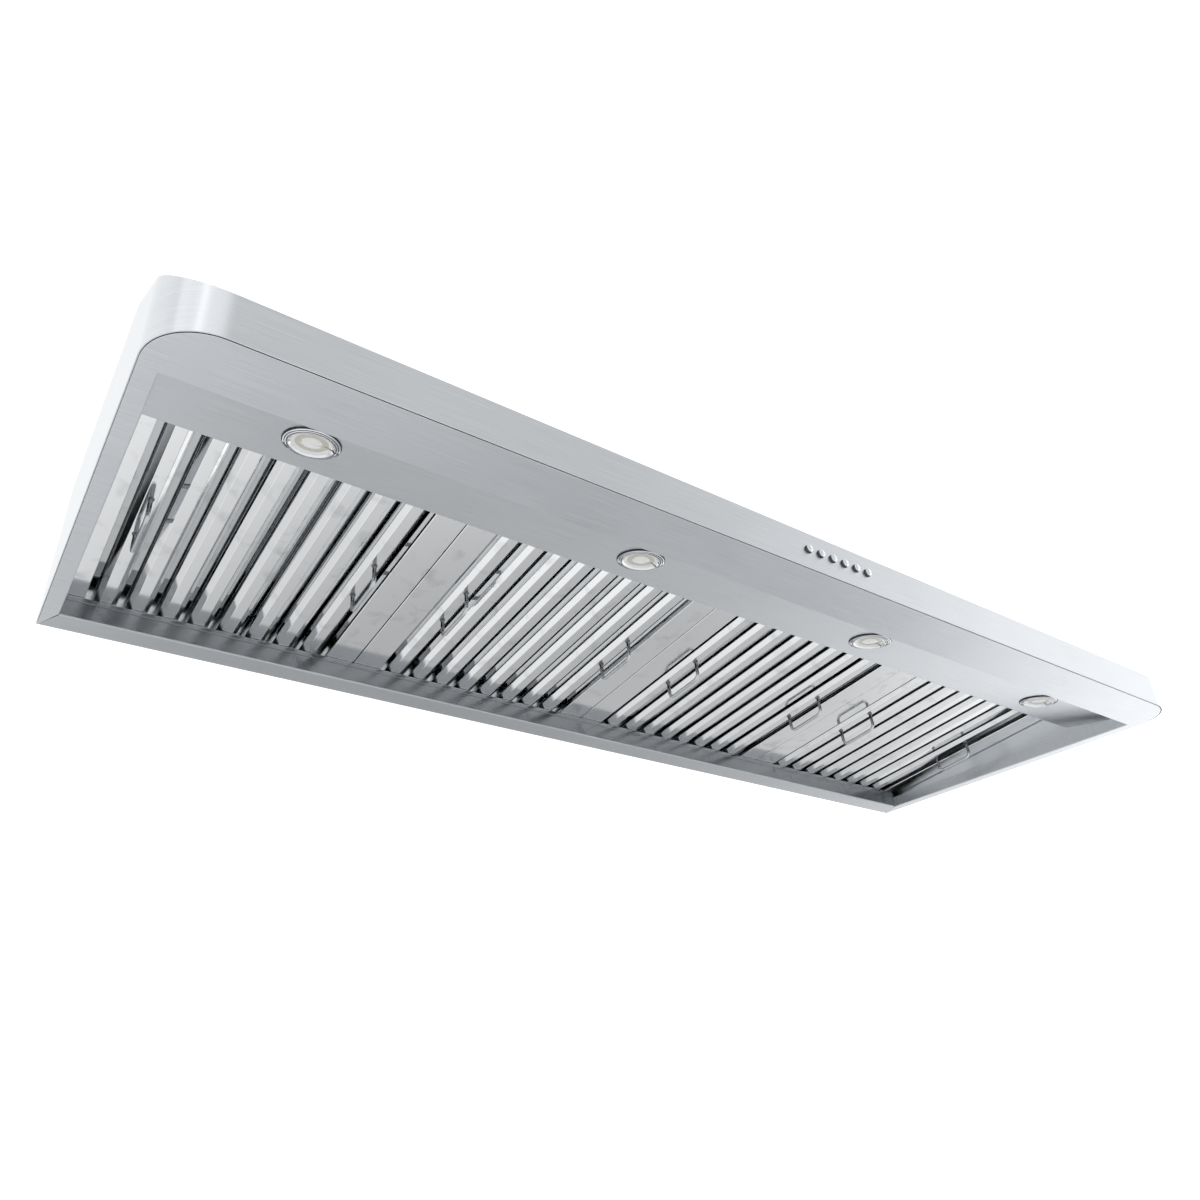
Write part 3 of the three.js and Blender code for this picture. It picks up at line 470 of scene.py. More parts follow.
def rim(low, high, centre, count=40):
    """Points on a rectangle seen from a centre at even angles, with the four corners put in."""
    low, high, centre = (np.asarray(v, float) for v in (low, high, centre))
    corners = np.array([[high[0], high[1]], [low[0], high[1]], [low[0], low[1]], [high[0], low[1]]])
    away = corners - centre
    angles = np.arange(count) * 2 * np.pi / count + np.pi / count
    angles = np.sort(np.concatenate([angles, np.arctan2(away[:, 1], away[:, 0]) % (2 * np.pi)]))
    ray = np.stack([np.cos(angles), np.sin(angles)], 1)
    with np.errstate(divide="ignore"):
        reach = np.where(ray > 0, (high - centre) / ray, (low - centre) / ray)
    return centre + ray * reach.min(1, keepdims=True), ray


def holed(low, high, centre, radius, thick, edge=0.35, count=40):
    """Sheet cell with a round hole. Rows run from the rectangle to the hole's softened edge,
    through the sheet and back out on its far side: (1 - k) circle + k rectangle, at a depth."""
    outside, ray = rim(low, high, centre, count)
    turn = np.linspace(0, np.pi / 2, 4)
    r = radius + edge * (1 - np.sin(turn))
    d = edge * (1 - np.cos(turn))
    rs = np.concatenate([[radius + 2 * edge], r, r[::-1], [radius + 2 * edge]])
    ds = np.concatenate([[0], d, thick - d[::-1], [thick]])
    ring = np.asarray(centre) + ray[None] * rs[:, None, None]
    flat = np.concatenate([outside[None], ring, outside[None]])
    depth = np.concatenate([[0], ds, [thick]])[:, None]
    return np.concatenate([flat, np.broadcast_to(depth, flat.shape[:2])[..., None]], -1)


STEPS = 4
ROUND = STEPS + 3  # points of one rounded corner
EASED = EDGE_R * 1.4
cell_low, cell_high = EASED, BAND - EASED
one_rim, _ = rim((-BUTTON_PITCH / 2, cell_low), (BUTTON_PITCH / 2, cell_high), (0, BUTTON_Z))
levels = np.sort(one_rim[np.isclose(one_rim[:, 0], BUTTON_PITCH / 2), 1])[1:-1]
corners = [(0, 0), *[(0, z) for z in levels], (0, BAND), (SHEET, BAND),
           *[(SHEET, z) for z in levels[::-1]], (SHEET, 0)]
flat = [0] * len(levels)
skin_section = rounded(corners, [EDGE_R, *flat, EDGE_R, EDGE_R, *flat, EDGE_R], STEPS)
print("skin section", len(skin_section), "points")

# %% Skin
BUTTON_ZONE = BUTTONS * BUTTON_PITCH / 2


def skin_path():
    """Left half of the plan, wall to middle: x, y, and the way in, square to the path."""
    y = np.concatenate([[DEPTH], np.linspace(SLOPE_RUN, CORNER_R, 9)])
    turn = np.linspace(0, np.pi / 2, 25)[1:]
    x = np.concatenate([np.full(len(y), -HALF), -HALF + CORNER_R * (1 - np.cos(turn))])
    way = np.concatenate([np.zeros(len(y)), turn, [np.pi / 2, np.pi / 2]])
    x = np.append(x, [-HALF + CORNER_R + 2, -BUTTON_ZONE])
    y = np.concatenate([y, CORNER_R * (1 - np.sin(turn)), [0, 0]])
    return x, y, np.stack([np.cos(way), np.sin(way)], 1)


def skin_side(mirror):
    """Half of the strip: path + way in * depth in the sheet. The upper edge follows the slope."""
    x, y, inward = skin_path()
    top = np.minimum(HEIGHT, BAND + y * (HEIGHT - BAND) / SLOPE_RUN)
    o, z = skin_section.T
    raised = z > (BAND + levels[-1]) / 2
    points = np.empty((len(x), len(o), 3))
    points[..., 0] = mirror * (x[:, None] + inward[:, :1] * o)
    points[..., 1] = y[:, None] + inward[:, 1:] * o
    points[..., 2] = z + raised * (top[:, None] - BAND)
    run = np.concatenate([[0], np.cumsum(np.hypot(np.diff(x), np.diff(y)))])
    u = mirror * (run - run[-1] - BUTTON_ZONE)[:, None]
    return grid(points, np.stack(np.broadcast_arrays(u, points[..., 2]), -1) / 1000)


def skin_middle():
    """Six cells with holes, and the two softened edges above and below them."""
    parts = []
    for x in BUTTON_X:
        low, high = (x - BUTTON_PITCH / 2, cell_low), (x + BUTTON_PITCH / 2, cell_high)
        cell = holed(low, high, (x, BUTTON_Z), BUTTON_R + BUTTON_PLAY, SHEET)[..., [0, 2, 1]]
        parts.append(grid(cell, cell[..., [0, 2]] / 1000))
    for z, section in (
        (cell_low, np.concatenate([skin_section[-ROUND:], skin_section[:ROUND]])),
        (cell_high, skin_section[ROUND + len(levels) : 3 * ROUND + len(levels)]),
    ):
        edge = one_rim[np.isclose(one_rim[:, 1], z), 0]
        stations = np.unique(np.round(BUTTON_X[:, None] + edge, 5))
        points = along_x(section, stations)
        parts.append(grid(points, points[..., [0, 2]] / 1000, around=False))
    return parts


shown("front_skin", [skin_side(1), skin_side(-1), *skin_middle()], brushed_steel,
      "canopy", ["canopy_skin"])

# %% [markdown]
# ## Underside frame and grease trough
#
# A flat frame closes the canopy from below: a wide strip in front, a narrow one at each side, all
# folded up round the opening. Its outer line follows the round corners while its inner line keeps
# square ones, so each point of the strip is blended between the two lines. Along the back lies a
# channel with a hemmed lip, that is, an edge folded flat onto itself so that it is safe to touch.
# It holds up the filters and collects the grease that runs down them.

# %% Underside frame
FRAME_IN = SHEET + SEAM  # from the skin's outer face to the frame's edge, in front
SIDE_IN = SHEET + 0.25  # and at the sides, where the sheets nearly touch
INNER_REACH = 34.0  # the inner line's share of the round corner
CORNER_POINTS = 17
EDGE_BAND, EDGE_LOW = 0.15, 0.2  # the cut edge's faces: how far in they lie, where they begin
FOLD_R = 1.0


def frame_lines():
    """Outer and inner line of the left half with their ways in, matched point for point."""
    turn = np.linspace(0, np.pi / 2, CORNER_POINTS)
    inset = SIDE_IN + (FRAME_IN - SIDE_IN) * np.clip(turn, 0, 1)
    outer_x, outer_r = HALF - SIDE_IN, CORNER_R - inset
    half_turn = np.linspace(-1, 1, CORNER_POINTS)
    outer = np.stack([-HALF + CORNER_R - outer_r * np.cos(turn),
                      CORNER_R - outer_r * np.sin(turn)], 1)
    inner = np.stack([-OPEN_HALF + INNER_REACH * np.maximum(half_turn, 0),
                      FRONT_STRIP + INNER_REACH * np.maximum(-half_turn, 0)], 1)
    outer = np.concatenate([[(-outer_x, DEPTH)], outer, [(0, FRAME_IN)]])
    inner = np.concatenate([[(-OPEN_HALF, LIP_Y)], inner, [(0, FRONT_STRIP)]])
    way = np.concatenate([[0], turn, [np.pi / 2]])
    outer_way = np.stack([np.cos(way), np.sin(way)], 1)
    side = np.concatenate([[-1], half_turn, [1]])
    inner_way = np.stack([side <= 0, side >= 0], 1).astype(float)
    return outer, inner, outer_way, inner_way


def frame_half(mirror):
    """(1 - k)(outer + a * way in) + k (inner + a * way in): k is 0 at the edge, 1 at the fold."""
    width = SIDE_STRIP - SIDE_IN
    section = rounded(
        [(0, 0), (width, 0), (width, SIDE_LIP), (width - SHEET, SIDE_LIP),
         (width - SHEET, SHEET), (0, SHEET)],
        [EDGE_R, FOLD_R, EDGE_R, EDGE_R, 0, EDGE_R])
    k = (section[:, :1] > width / 2).astype(float)
    a = section[:, :1] - k * width
    outer, inner, outer_way, inner_way = (v[:, None] for v in frame_lines())
    flat = (1 - k) * (outer + a * outer_way) + k * (inner + a * inner_way)
    height = np.broadcast_to(section[:, 1:], (*flat.shape[:2], 1))
    points = np.concatenate([flat * [mirror, 1], height], -1)
    lean = np.stack([points[..., 0] + points[..., 2], points[..., 1]], -1)
    return grid(points, lean / 1000)


def in_seam(middle):
    """The cut edge that looks into the seam behind the front band, which gets painted shade."""
    return (middle[:, 1] < FRAME_IN + EDGE_BAND) & (middle[:, 2] > EDGE_LOW)


# The cut edge in the seam gets painted shade.
shown("underside_sheet", [frame_half(1), frame_half(-1)], brushed_steel,
      "canopy", ["underside_frame"], 32, groove_painted_shade, in_seam)

# %% Grease trough
MITRE = 0.5
LIP_FACE = (2.5, TROUGH_LIP - 1.0)  # heights between which the lip's face is shaded
LIP_DEPTH = 0.4


def trough():
    """One closed section; its ends follow the mitre, so x grows with the distance from the lip."""
    rear = DEPTH - SHEET - GAP
    hem = TROUGH_LIP - TROUGH_HEM
    section = rounded(
        [(LIP_Y, 0), (DEPTH, 0), (DEPTH, SHEET), (rear, SHEET), (rear, TROUGH_BACK),
         (rear - SHEET, TROUGH_BACK), (rear - SHEET, SHEET), (LIP_Y + SHEET, SHEET),
         (LIP_Y + SHEET, TROUGH_LIP), (LIP_Y - SHEET, TROUGH_LIP), (LIP_Y - SHEET, hem),
         (LIP_Y, hem)],
        [1.4, EDGE_R, EDGE_R, 0, EDGE_R, EDGE_R, 0, 0.6, 0.8, 0.9, 0.5, 0])
    out = np.clip((section[:, 0] - LIP_Y) / BACK_STRIP, 0, 1)
    end = OPEN_HALF - MITRE + out * (SIDE_STRIP - SIDE_IN)
    return grid(along_x(section, [-end, end]))


def on_lip(middle):
    """The lip's front face between its hem and its bend, which gets painted shade."""
    low, high = LIP_FACE
    return (middle[:, 1] < LIP_Y + LIP_DEPTH) & (middle[:, 2] > low) & (middle[:, 2] < high)


# Painted shade: the trough gets a darker tint of its steel, and its lip's face a darker one still.
shown("trough_sheet", [trough()], brushed_trough_painted_shade, "canopy", ["grease_trough"],
      32, lip_painted_shade, on_lip)

# %% [markdown]
# ## Light panel
#
# Behind the front strip a wide panel leans back by 8.6 degrees, so that the lamps shine on the
# whole cooktop. Its rear edge is folded up and then forward to a ledge for the filters. The four
# lamp holes again sit in cells between a circle and a rectangle; here depth is measured square to
# the leaning sheet, and the cells are turned into place together.

# %% Light panel sheet
LIGHTS, LIGHT_PITCH, LIGHT_Y, LIGHT_HOLE_R = 4, 396.5, 124.5, 25.0
LIGHT_X = (np.arange(LIGHTS) - (LIGHTS - 1) / 2) * LIGHT_PITCH
PANEL_HALF = HALF - SHEET - GAP
LEDGE = 40.0
LAP, REAR_FLAT = 9.0, 6.0  # the lap on the front strip, and the flat before the rear fold


def ledge_face(y):
    """Upper face of the ledge, a gap below the filters."""
    return filter_face(y) - GAP


def panel():
    """Cells between two folded edges. Leaning depth b is measured from the lamps' row."""
    cos = math.cos(LIGHT_TILT)
    low_b = (FRONT_STRIP - LIGHT_Y + 1) / cos
    high_b = (LIGHT_REAR - LIGHT_Y) / cos - REAR_FLAT
    bounds = [-PANEL_HALF, *(LIGHT_X[1:] + LIGHT_X[:-1]) / 2, PANEL_HALF]
    pivot = (0, LIGHT_Y, light_face(LIGHT_Y))
    parts, front_x, rear_x = [], [], []
    for x, left, right in zip(LIGHT_X, bounds, bounds[1:]):
        cell = holed((left, low_b), (right, high_b), (x, 0), LIGHT_HOLE_R, SHEET, count=72)
        edge = cell[0]
        front_x.append(edge[np.isclose(edge[:, 1], low_b), 0])
        rear_x.append(edge[np.isclose(edge[:, 1], high_b), 0])
        where = tilted(cell, LIGHT_TILT, pivot)
        parts.append(grid(where, where[..., :2] / 1000))
    ramp = np.array([cos, math.sin(LIGHT_TILT)])
    square = np.array([-math.sin(LIGHT_TILT), cos]) * SHEET
    foot = np.array(pivot[1:])
    lap = foot + ramp * (low_b - LAP)
    inside, ledge = LIGHT_REAR - SHEET, LIGHT_REAR - LEDGE
    thick = SHEET / cos
    front_edge = rounded([foot + ramp * low_b, lap, lap + square, foot + ramp * low_b + square],
                         [0, EDGE_R, EDGE_R, 0])
    rear_edge = rounded(
        [foot + ramp * high_b, (LIGHT_REAR, light_face(LIGHT_REAR)),
         (LIGHT_REAR, ledge_face(LIGHT_REAR)), (ledge, ledge_face(ledge)),
         (ledge, ledge_face(ledge) - SHEET), (inside, ledge_face(inside) - SHEET),
         (inside, light_face(inside) + thick), foot + ramp * high_b + square],
        [0, 1.8, 1.6, EDGE_R, EDGE_R, 0.5, 0.6, 0])
    for section, xs in ((front_edge, front_x), (rear_edge, rear_x)):
        stations = np.unique(np.round(np.concatenate(xs), 5))
        points = along_x(section, stations)
        parts.append(grid(points, points[..., :2] / 1000, around=False))
    return parts


shown("light_panel_sheet", panel(), brushed_steel, "canopy", ["light_panel"])

# %% [markdown]
# ## Lamps
#
# Each lamp is a stack of turned parts on one leaning axis: a stepped chrome ring, a thick pressed
# lens, and a cup with a ribbed reflector round a small yellow disc of phosphor. Turned parts need
# only a profile of radius and height. The ring has two notches between its steps, and faces that
# lie in them get painted shade, which draws the thin circles. The lens is a dome with a hollow
# round it and a bead at its rim, and its hollow gets a fine bump and a darker grey tint as painted
# shade.

# %% Lamps
SLEEVE_R, FLANGE_R, TRIM_DROP, BORE_R, WINDOW_R = 24.7, 28.5, 2.8, 23.2, 20.0
LENS_R, LENS_LOW, LENS_THICK, LAMP_LONG, CUP_DEEP, CHIP_R = 22.9, 0.3, 2.0, 24.0, 8.0, 6.0
DOME_R, BEAD_R, AROUND = 9.5, 19.4, 72
LENS_FACE, DOME_DROP, HOLLOW_DEEP, BEAD_DROP = LENS_LOW - 0.7, 1.6, 1.0, 0.6
# Radii between which the lens's hollow gets painted shade.
HOLLOW_SHADE_FROM, HOLLOW_SHADE_TO = DOME_R + 0.3, 16.2
RIBS, RIB_DEEP = 8, 0.35
GROOVES = ((27.3, 28.6), (25.3, 25.9), (23.1, 23.7))  # the rim's outer edge and the two notches


def trim_profile():
    """Stepped flange: each tread is a narrow slope and each groove a notch between two treads."""
    return rounded(
        [(SLEEVE_R, 12), (SLEEVE_R, -GAP), (FLANGE_R, -GAP), (FLANGE_R, -0.8), (27.4, -1.7),
         (26.1, -2.2), (25.9, -1.6), (25.3, -1.6), (25.1, -2.4), (23.9, -TRIM_DROP), (23.7, -2.1),
         (23.1, -2.1), (22.9, -TRIM_DROP), (21.9, -TRIM_DROP), (WINDOW_R, -0.9), (WINDOW_R, 0),
         (BORE_R, 0), (BORE_R, 12)],
        [0.2, 0, 0.2, 0.2, 0.3, 0.08, 0.05, 0.05, 0.08, 0.15, 0.05, 0.05, 0.12, 0.15, 0.2, 0.2, 0,
         0.2], 3)


def in_groove(middle):
    """The rings of painted shade: their distance from the lamp's axis lies between a groove's two
    radii.
    """
    x = middle[:, :1] - LIGHT_X
    away = np.hypot(x, (middle[:, 1:2] - LIGHT_Y) / math.cos(LIGHT_TILT)).min(1)
    sunk = [(away > low) & (away < high) for low, high in GROOVES]
    return np.any(sunk, 0)


def lens_profile():
    """Height over the radius: a dome that hangs down by 1 - (r / DOME_R) ** 2, then half a sine
    wave upwards, less the fourth power of the way out, which lets the bead hang down again."""
    inner = np.linspace(0, 1, 9)
    outer = np.linspace(0, 1, 17)[1:]
    dome = np.stack([DOME_R * inner, LENS_FACE - DOME_DROP * (1 - inner**2)], 1)
    wave = HOLLOW_DEEP * np.sin(np.pi * outer) - BEAD_DROP * outer**4
    hollow = np.stack([DOME_R + (BEAD_R - DOME_R) * outer, LENS_FACE + wave], 1)
    top = LENS_LOW + LENS_THICK
    return np.concatenate([dome, hollow, [(LENS_R, LENS_LOW), (LENS_R, top), (0, top)]])


def in_hollow(middle):
    """The hollow between the lens's dome and its bead, which gets painted shade."""
    x = middle[:, :1] - LIGHT_X
    away = np.hypot(x, middle[:, 1:2] - LIGHT_Y).min(1)
    return (away > HOLLOW_SHADE_FROM) & (away < HOLLOW_SHADE_TO)


def cup_profile():
    """Bowl from the chip to the window: depth times (1 - t) ** 1.4, less the size of a sine, which
    leaves shallow ribs."""
    t = np.linspace(0, 1, 65)
    low = LENS_LOW + LENS_THICK + GAP
    r = CHIP_R + (WINDOW_R - CHIP_R) * t
    h = low + CUP_DEEP * (1 - t) ** 1.4 - RIB_DEEP * np.abs(np.sin(RIBS * np.pi * t))
    back = [(LENS_R, low), (LENS_R, low + 12), (LENS_R - 3.2, low + LAMP_LONG),
            (0, low + LAMP_LONG), (0, low + CUP_DEEP + 1), (CHIP_R, low + CUP_DEEP + 1)]
    return np.concatenate([np.stack([r, h], 1), back])


def chip_profile():
    """Low dome of phosphor that fills the bottom of the cup."""
    low = LENS_LOW + LENS_THICK + GAP + CUP_DEEP
    r = np.linspace(0, 1, 7)
    return np.concatenate([np.stack([CHIP_R * r, low - 1.0 * (1 - r**2)], 1), [(0, low + 0.8)]])


def on_lamp(profile, x):
    return grid(tilted(turned(profile, AROUND), LIGHT_TILT, (x, LIGHT_Y, light_face(LIGHT_Y))))


for i, x in enumerate(LIGHT_X, 1):
    around_trim = on_lamp(trim_profile(), x)
    # The ring's grooves get painted shade.
    shown(f"lamp_ring_{i}", [around_trim], lamp_chrome, "canopy",
          [f"light_trim_{i}"], 40, groove_painted_shade, in_groove)
    # The lens's hollow gets painted shade.
    shown(f"lamp_lens_{i}", [on_lamp(lens_profile(), x)], glass, "canopy",
          [f"light_lens_{i}"], 32, lens_hollow_painted_shade, in_hollow)
    shown(f"lamp_cup_{i}", [on_lamp(cup_profile(), x)], reflector, "canopy",
          [f"lamp_module_{i}"], 60)
    shown(f"lamp_chip_{i}", [on_lamp(chip_profile(), x)], phosphor, "canopy")

# %% [markdown]
# ## Baffle filters
#
# Each filter is a flat box of bent strips. The lower row of channels and the upper, inverted row
# overlap, so grease-laden air has to turn sharply twice and the grease stays behind on the metal.
# Each channel is 0.8 mm sheet with hemmed edges. A channel is one section carried along the
# filter's own y axis, and the whole filter is then tipped by 6.5 degrees onto the trough's lip.

# %% Filter sections
FILTERS, FILTER_PLAY, FILTER_SHEET = 4, 1.2, 0.8
FILTER_PITCH = (WIDTH - 2 * SHEET - 2) / FILTERS
FILTER_W = FILTER_PITCH - FILTER_PLAY
FILTER_X = (np.arange(FILTERS) - (FILTERS - 1) / 2) * FILTER_PITCH
ON_LEDGE = 12  # how far the filter reaches over the light panel's ledge
FRONT_END, BACK_END = -(LIP_Y - LIGHT_REAR + ON_LEDGE) / math.cos(FILTER_TILT), 17.0
PITCH, SLOT, FLAT, RISE = 36.5, 9.5, 12.6, 5.2
SLOT_X = np.arange(-4, 5) * PITCH
RAIL_IN = 4 * PITCH + SLOT / 2
HEM, RAIL_TOP = 4.2, 14


def channel():
    """Half of the section, then its mirror: flat, bevel, rounded hem, and back along the inside."""
    half, flat, t = (PITCH - SLOT) / 2, FLAT / 2, FILTER_SHEET
    way = np.array([half - flat, RISE]) / math.hypot(half - flat, RISE)
    square = np.array([-way[1], way[0]])
    tip, foot = np.array([half, RISE]), np.array([flat, 0.0])
    tip = tip - way * 0.2
    right = [foot, tip, tip + 2 * t * square, tip + 2 * t * square - way * HEM,
             tip + t * 1.05 * square - way * HEM, (flat - 0.45 * t, t)]
    radii = [1.1, 0.72, 0.72, 0.2, 0, 0.5]
    left = [(-a, b) for a, b in right[::-1]]
    return rounded([*right, *left], [*radii, *radii[::-1]], 3)


def rail(side):
    """Side rail: a wide flat that turns up into the frame and folds inwards on top."""
    w, top, t = FILTER_W / 2, FILTER_THICK, FILTER_SHEET
    section = rounded(
        [(w, 0), (w, top), (w - RAIL_TOP, top), (w - RAIL_TOP, top - t), (w - t, top - t), (w - t, t),
         (RAIL_IN + t, t), (RAIL_IN + t, RISE), (RAIL_IN, RISE), (RAIL_IN, 0)],
        [0.9, 0.9, 0.25, 0.25, 0, 0, 0, 0.25, 0.25, 0.9], 3)
    return section * [side, 1]


def on_filter(points, x):
    """Filter coordinates (across, along, up) to the hood: tip about the lip and shift to x."""
    return tilted(points, -FILTER_TILT, (x, LIP_Y, TROUGH_LIP + GAP))


def strip(section, low, high, x):
    """An (across, up) section carried along the filter between two places."""
    y = np.broadcast_to(np.array([low, high])[:, None], (2, len(section)))
    ax, up = (np.broadcast_to(section[:, i], y.shape) for i in (0, 1))
    return grid(on_filter(np.stack([ax, y, up], -1), x))


def filter_parts(x):
    """The lower row of channels, a rail at each side and a plate across each end."""
    lower = channel()
    near, far = FRONT_END + 0.4, BACK_END - 0.4
    parts = [strip(lower + [s + PITCH / 2, 0], near, far, x) for s in SLOT_X[:-1]]
    parts += [strip(rail(side), FRONT_END, BACK_END, x) for side in (-1, 1)]
    w, top, t = FILTER_W / 2 - 0.1, FILTER_THICK - 0.1, FILTER_SHEET
    plate = np.array([(-w, 0.1), (w, 0.1), (w, top), (-w, top)])
    parts += [strip(plate, y, y + t, x) for y in (FRONT_END, BACK_END - t)]
    return parts


def upper_parts(x):
    """The same channel upside down over each slot."""
    upper = np.array([0, FILTER_THICK]) + channel() * [1, -1]
    return [strip(upper + [s, 0], FRONT_END + 0.4, BACK_END - 0.4, x) for s in SLOT_X]


for i, x in enumerate(FILTER_X, 1):
    shown(f"baffle_filter_{i}", filter_parts(x), baffle_steel, f"filter_{i}",
          [f"filter_{i}"])
    # The inner row carries painted shade: a darker tint of the same steel.
    shown(f"upper_channels_{i}", upper_parts(x), upper_steel_painted_shade, f"filter_{i}")

# %% Filter handles
WIRE_R, SPAN, DROP, BEND_R, FROM_LIP, FOOT_R = 2.5, 66.0, 30.0, 9.0, 180.0, 4.0
OUTER_CHANNEL = 3.5 * PITCH  # from the filter's middle to its outermost lower channel


def handle(across, x):
    """Wire along a U with round bends; its ends touch the baffle inside a small weld collar."""
    half, low = SPAN / 2, WIRE_R - DROP
    line = rounded([(-half, 0.1), (-half, low), (half, low), (half, 0.1)],
                   [0, BEND_R, BEND_R, 0], 10)
    path = np.stack([np.full(len(line), across), line[:, 0] - FROM_LIP, line[:, 1]], 1)
    points = tube(path, WIRE_R)
    feet = []
    for end in (-half, half):
        ring = rounded([(WIRE_R, -0.05), (FOOT_R, -0.05), (FOOT_R - 0.5, -1.4), (WIRE_R, -1.4)],
                       [0, 0.2, 0.5, 0], 3)
        where = turned(ring, 24) + [across, end - FROM_LIP, 0]
        feet.append(grid(on_filter(where, x)))
    return [grid(on_filter(points, x)), *feet]


def on_leg(middle):
    """The upright ends of the wire, above its two bends, which get painted shade."""
    return filter_face(middle[:, 1]) - middle[:, 2] < DROP - BEND_R


for i, x in enumerate(FILTER_X, 1):
    for letter, side in (("a", -1), ("b", 1)):
        # The wire's bar and legs get darker tints of chrome as painted shade.
        shown(f"pull_{i}{letter}", handle(side * OUTER_CHANNEL, x), chromed_wire_painted_shade, f"filter_{i}",
              [f"filter_handle_{i}{letter}"], 50, leg_chrome_painted_shade, on_leg)

# %% [markdown]
# ## Push buttons
#
# Six polished caps stand 4 mm out of the band. A turned cap with a gentle dome mirrors the whole
# studio in its face. Its rounded edge bends those reflections sharply, and its wall gets painted
# shade, as said above, which sets the cap off from the band and makes it read as metal.

# %% Buttons
STAND, RIM_W, RIM_T, STEM_R, STEM_LONG = 4.2, 1.7, 1.5, 2.5, 9.0
DOME_EDGE = BUTTON_R - 1.0  # radius where the dome ends
BULGE, EDGE_DEEP, WALL_FROM = 0.55, 0.95, 1.3  # depths behind the cap's highest point


def button_profile():
    """(radius, depth into the hood): a dome that falls back by bulge * (r / its edge) ** 2, a
    rounded edge, the wall, a rim and a stem."""
    r = np.linspace(0, 1, 8)[:-1] * DOME_EDGE
    dome = np.stack([r, -STAND + BULGE * (r / DOME_EDGE) ** 2], 1)
    inner = SHEET + GAP
    rest = rounded(
        [(DOME_EDGE, BULGE - STAND), (BUTTON_R, EDGE_DEEP - STAND), (BUTTON_R, inner),
         (BUTTON_R + RIM_W, inner), (BUTTON_R + RIM_W, inner + RIM_T), (STEM_R, inner + RIM_T),
         (STEM_R, inner + RIM_T + STEM_LONG), (0, inner + RIM_T + STEM_LONG)],
        [0, 0.7, 0, 0.2, 0.2, 0, 0.4, 0], 5)
    return np.concatenate([dome, rest])


def on_wall(middle):
    """The cap's cylindrical wall, from behind its rounded edge inwards, which gets painted shade."""
    return middle[:, 1] > WALL_FROM - STAND


for i, x in enumerate(BUTTON_X, 1):
    where = turned(button_profile(), 48)[..., [0, 2, 1]] + [x, 0, BUTTON_Z]
    # The caps' walls get painted shade.
    shown(f"push_button_{i}", [grid(where)], polished_steel, f"button_{i}",
          [f"button_{i}"], 40, cap_wall_painted_shade, on_wall)

# %% [markdown]
# ## Finishes for the CAD parts that stay
#
# Many inner parts already have the right shape. They keep their CAD meshes and only get a
# material by what they are made of.

# %% Materials on CAD nodes
FINISHES = {
    "top_cover": brushed_plain, "back_panel": galvanised, "wiring_box": galvanised,
    "wiring_lid": galvanised, "cable_bushing": nylon, "switch_block": nylon,
    "control_board": circuit, "duct_collar": galvanised, "damper_flap": galvanised,
    "volute": galvanised, "fan_wheel": galvanised, "fan_shaft": polished_steel,
    "motor_strap": galvanised, "motor": casing,
}
for name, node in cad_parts.items():
    if node.hide_render:
        continue
    kind = max((k for k in FINISHES if name.startswith(k)), key=len)
    node.data.materials.clear()
    node.data.materials.append(FINISHES[kind])
    print(name, "->", FINISHES[kind].name)

# %% [markdown]
# ## Studio
#
# Steel has hardly any colour of its own: it shows what stands round it. The hood hangs in a white
# room above a pale floor. The underside mirrors the floor, and two soft grey pools of painted
# shade on the floor give it its mid-grey. The front band mirrors the room behind the camera, which
# is a little dimmer than the wall behind the hood. One softbox brightens the floor on the right. A
# wide one and a narrow one stand at the left corner and draw its upright bands.

# %% Floor, room and lights
FLOOR_Z, FLOOR_R = -1.6, 8.0
DIM_WALL, BRIGHT_WALL, WINDOW = 0.83, 1.25, 0.75
PAINTED_FLOOR_SHADES = (  # x, y, radius where the shade begins to fade, radius where it ends, colour
    (1.6, 2.7, 1.5, 3.5, "#a9a9aa"),
    (-2.6, 2.6, 0.8, 2.4, "#d4d4d5"),
)


def disc():
    """Round floor: rings of radius times a circle, flat at the floor's height."""
    a = np.linspace(0, 2 * np.pi, 64, endpoint=False)
    r = np.array([0.5, 2.0, 4.0, 6.0, FLOOR_R])[:, None]
    points = np.stack(np.broadcast_arrays(r * np.cos(a), r * np.sin(a), FLOOR_Z), -1).reshape(-1, 3)
    return points, [*quads(5, 64)[:, ::-1].tolist(), list(range(64))]


floor_paint, tree, shader = material("pale_floor_paint")
spot = add(tree, "TexCoord").outputs["Object"]
paint = add(tree, "RGB")
paint.outputs[0].default_value = linear("#f8f8f8")
paint = paint.outputs[0]
# Each pool of painted shade fades from its grey into the pale paint.
for x, y, near, far, grey in PAINTED_FLOOR_SHADES:
    middle = add(tree, "VectorMath", operation="DISTANCE", i0=spot, i1=(x, y, FLOOR_Z))
    fade = add(tree, "MapRange", interpolation_type="SMOOTHSTEP", Value=middle.outputs["Value"],
               From_Min=near, From_Max=far, To_Min=1.0, To_Max=0.0).outputs[0]
    paint = add(tree, "Mix", data_type="RGBA", i0=fade, i6=paint, i7=linear(grey)).outputs[2]
feed(tree, shader, "Base Color", paint)
fix(shader, Roughness=0.8)
floor_mesh = bpy.data.meshes.new("floor")
floor_points, floor_faces = disc()
floor_mesh.from_pydata(floor_points, [], floor_faces)
floor_mesh.materials.append(floor_paint)
floor = bpy.data.objects.new("floor", floor_mesh)
bpy.context.scene.collection.objects.link(floor)

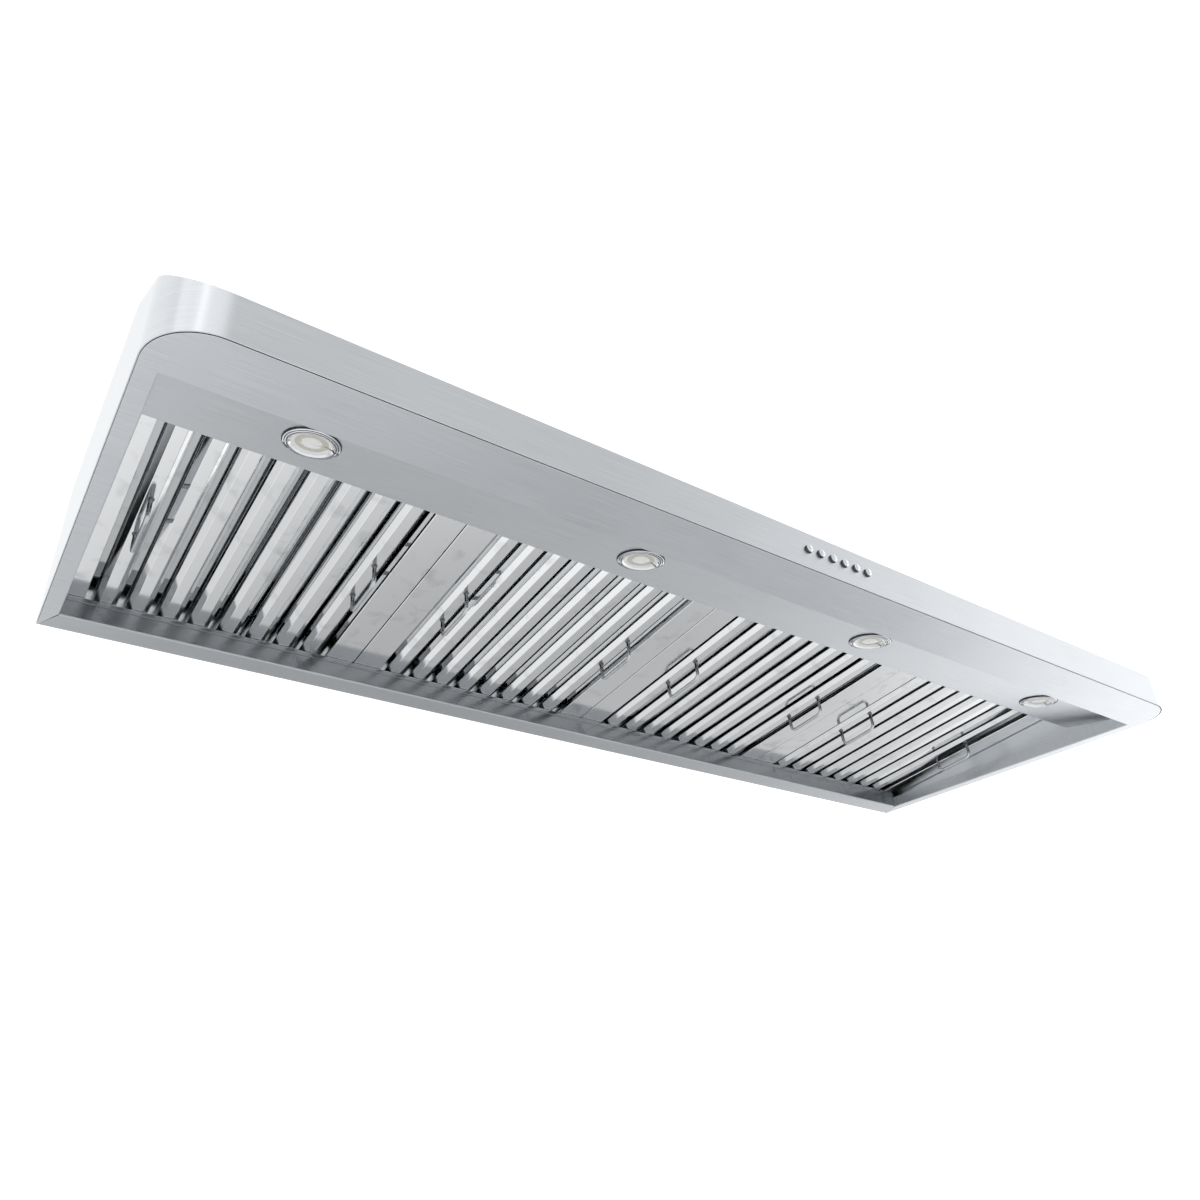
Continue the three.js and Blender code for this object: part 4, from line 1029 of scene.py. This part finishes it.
room = bpy.data.worlds.new("white_room")
bpy.context.scene.world = room
room.use_nodes = True
tree = room.node_tree
tree.nodes.clear()
towards = add(tree, "TexCoord").outputs["Generated"]
axes = add(tree, "SeparateXYZ", Vector=towards).outputs
wall = add(tree, "MapRange", Value=axes["Y"], From_Min=-0.35, From_Max=0.1,
           To_Min=DIM_WALL, To_Max=BRIGHT_WALL).outputs[0]
window = add(tree, "MapRange", Value=axes["X"], From_Min=0.57, From_Max=0.9,
             To_Min=0.0, To_Max=WINDOW).outputs[0]
power = add(tree, "Math", operation="ADD", i0=wall, i1=window)
sky = add(tree, "Background", Color=linear("#ffffff"), Strength=power.outputs[0])
add(tree, "OutputWorld", Surface=sky.outputs[0])


def softbox(name, place_at, aim, width, height, watts):
    """Area light at a place, turned so that it faces the aim point."""
    light = bpy.data.lights.new(name, "AREA")
    light.shape, light.size, light.size_y, light.energy = "RECTANGLE", width, height, watts
    holder = bpy.data.objects.new(name, light)
    bpy.context.scene.collection.objects.link(holder)
    direction = Vector(aim) - Vector(place_at)
    holder.rotation_euler = direction.to_track_quat("-Z", "Y").to_euler()
    holder.location = place_at
    holder.visible_camera = False
    return holder


softbox("floor_softbox", (3.6, 1.0, 0.2), (3.6, 1.0, FLOOR_Z), 1.6, 1.6, 34)
softbox("left_softbox", (-2.2, -2.1, 1.9), (-0.7, -0.4, -0.2), 3.6, 2.0, 13)
softbox("left_strip", (-1.95, -1.75, 1.55), (-0.7, -0.4, -0.2), 0.26, 1.9, 1.2)
print("floor, room and", len(bpy.data.lights), "lights")

# %% [markdown]
# ## Camera
#
# A moderately wide lens stands low in front of the left end and looks up at 29 degrees. The
# numbers are the camera's place, the way it looks, and a slight roll.

# %% Camera
EYE = (-0.8042, -1.0171, -0.7820)
HEADING, PITCH_UP, ROLL = 35.615, 28.712, -2.203
camera_data = bpy.data.cameras.new("camera")
camera_data.sensor_width, camera_data.lens = 36.0, 28.967
camera_data.shift_x, camera_data.shift_y = 0.0074, 0.0210
camera = bpy.data.objects.new("camera", camera_data)
bpy.context.scene.collection.objects.link(camera)
bpy.context.scene.camera = camera
turn = Matrix.Rotation(math.radians(-HEADING), 4, "Z")
turn = turn @ Matrix.Rotation(math.radians(90 + PITCH_UP), 4, "X")
turn = turn @ Matrix.Rotation(math.radians(ROLL), 4, "Z")
camera.matrix_world = Matrix.Translation(EYE) @ turn
bpy.context.scene.view_settings.view_transform = "Standard"
print("camera at", EYE, "pitched up", PITCH_UP)
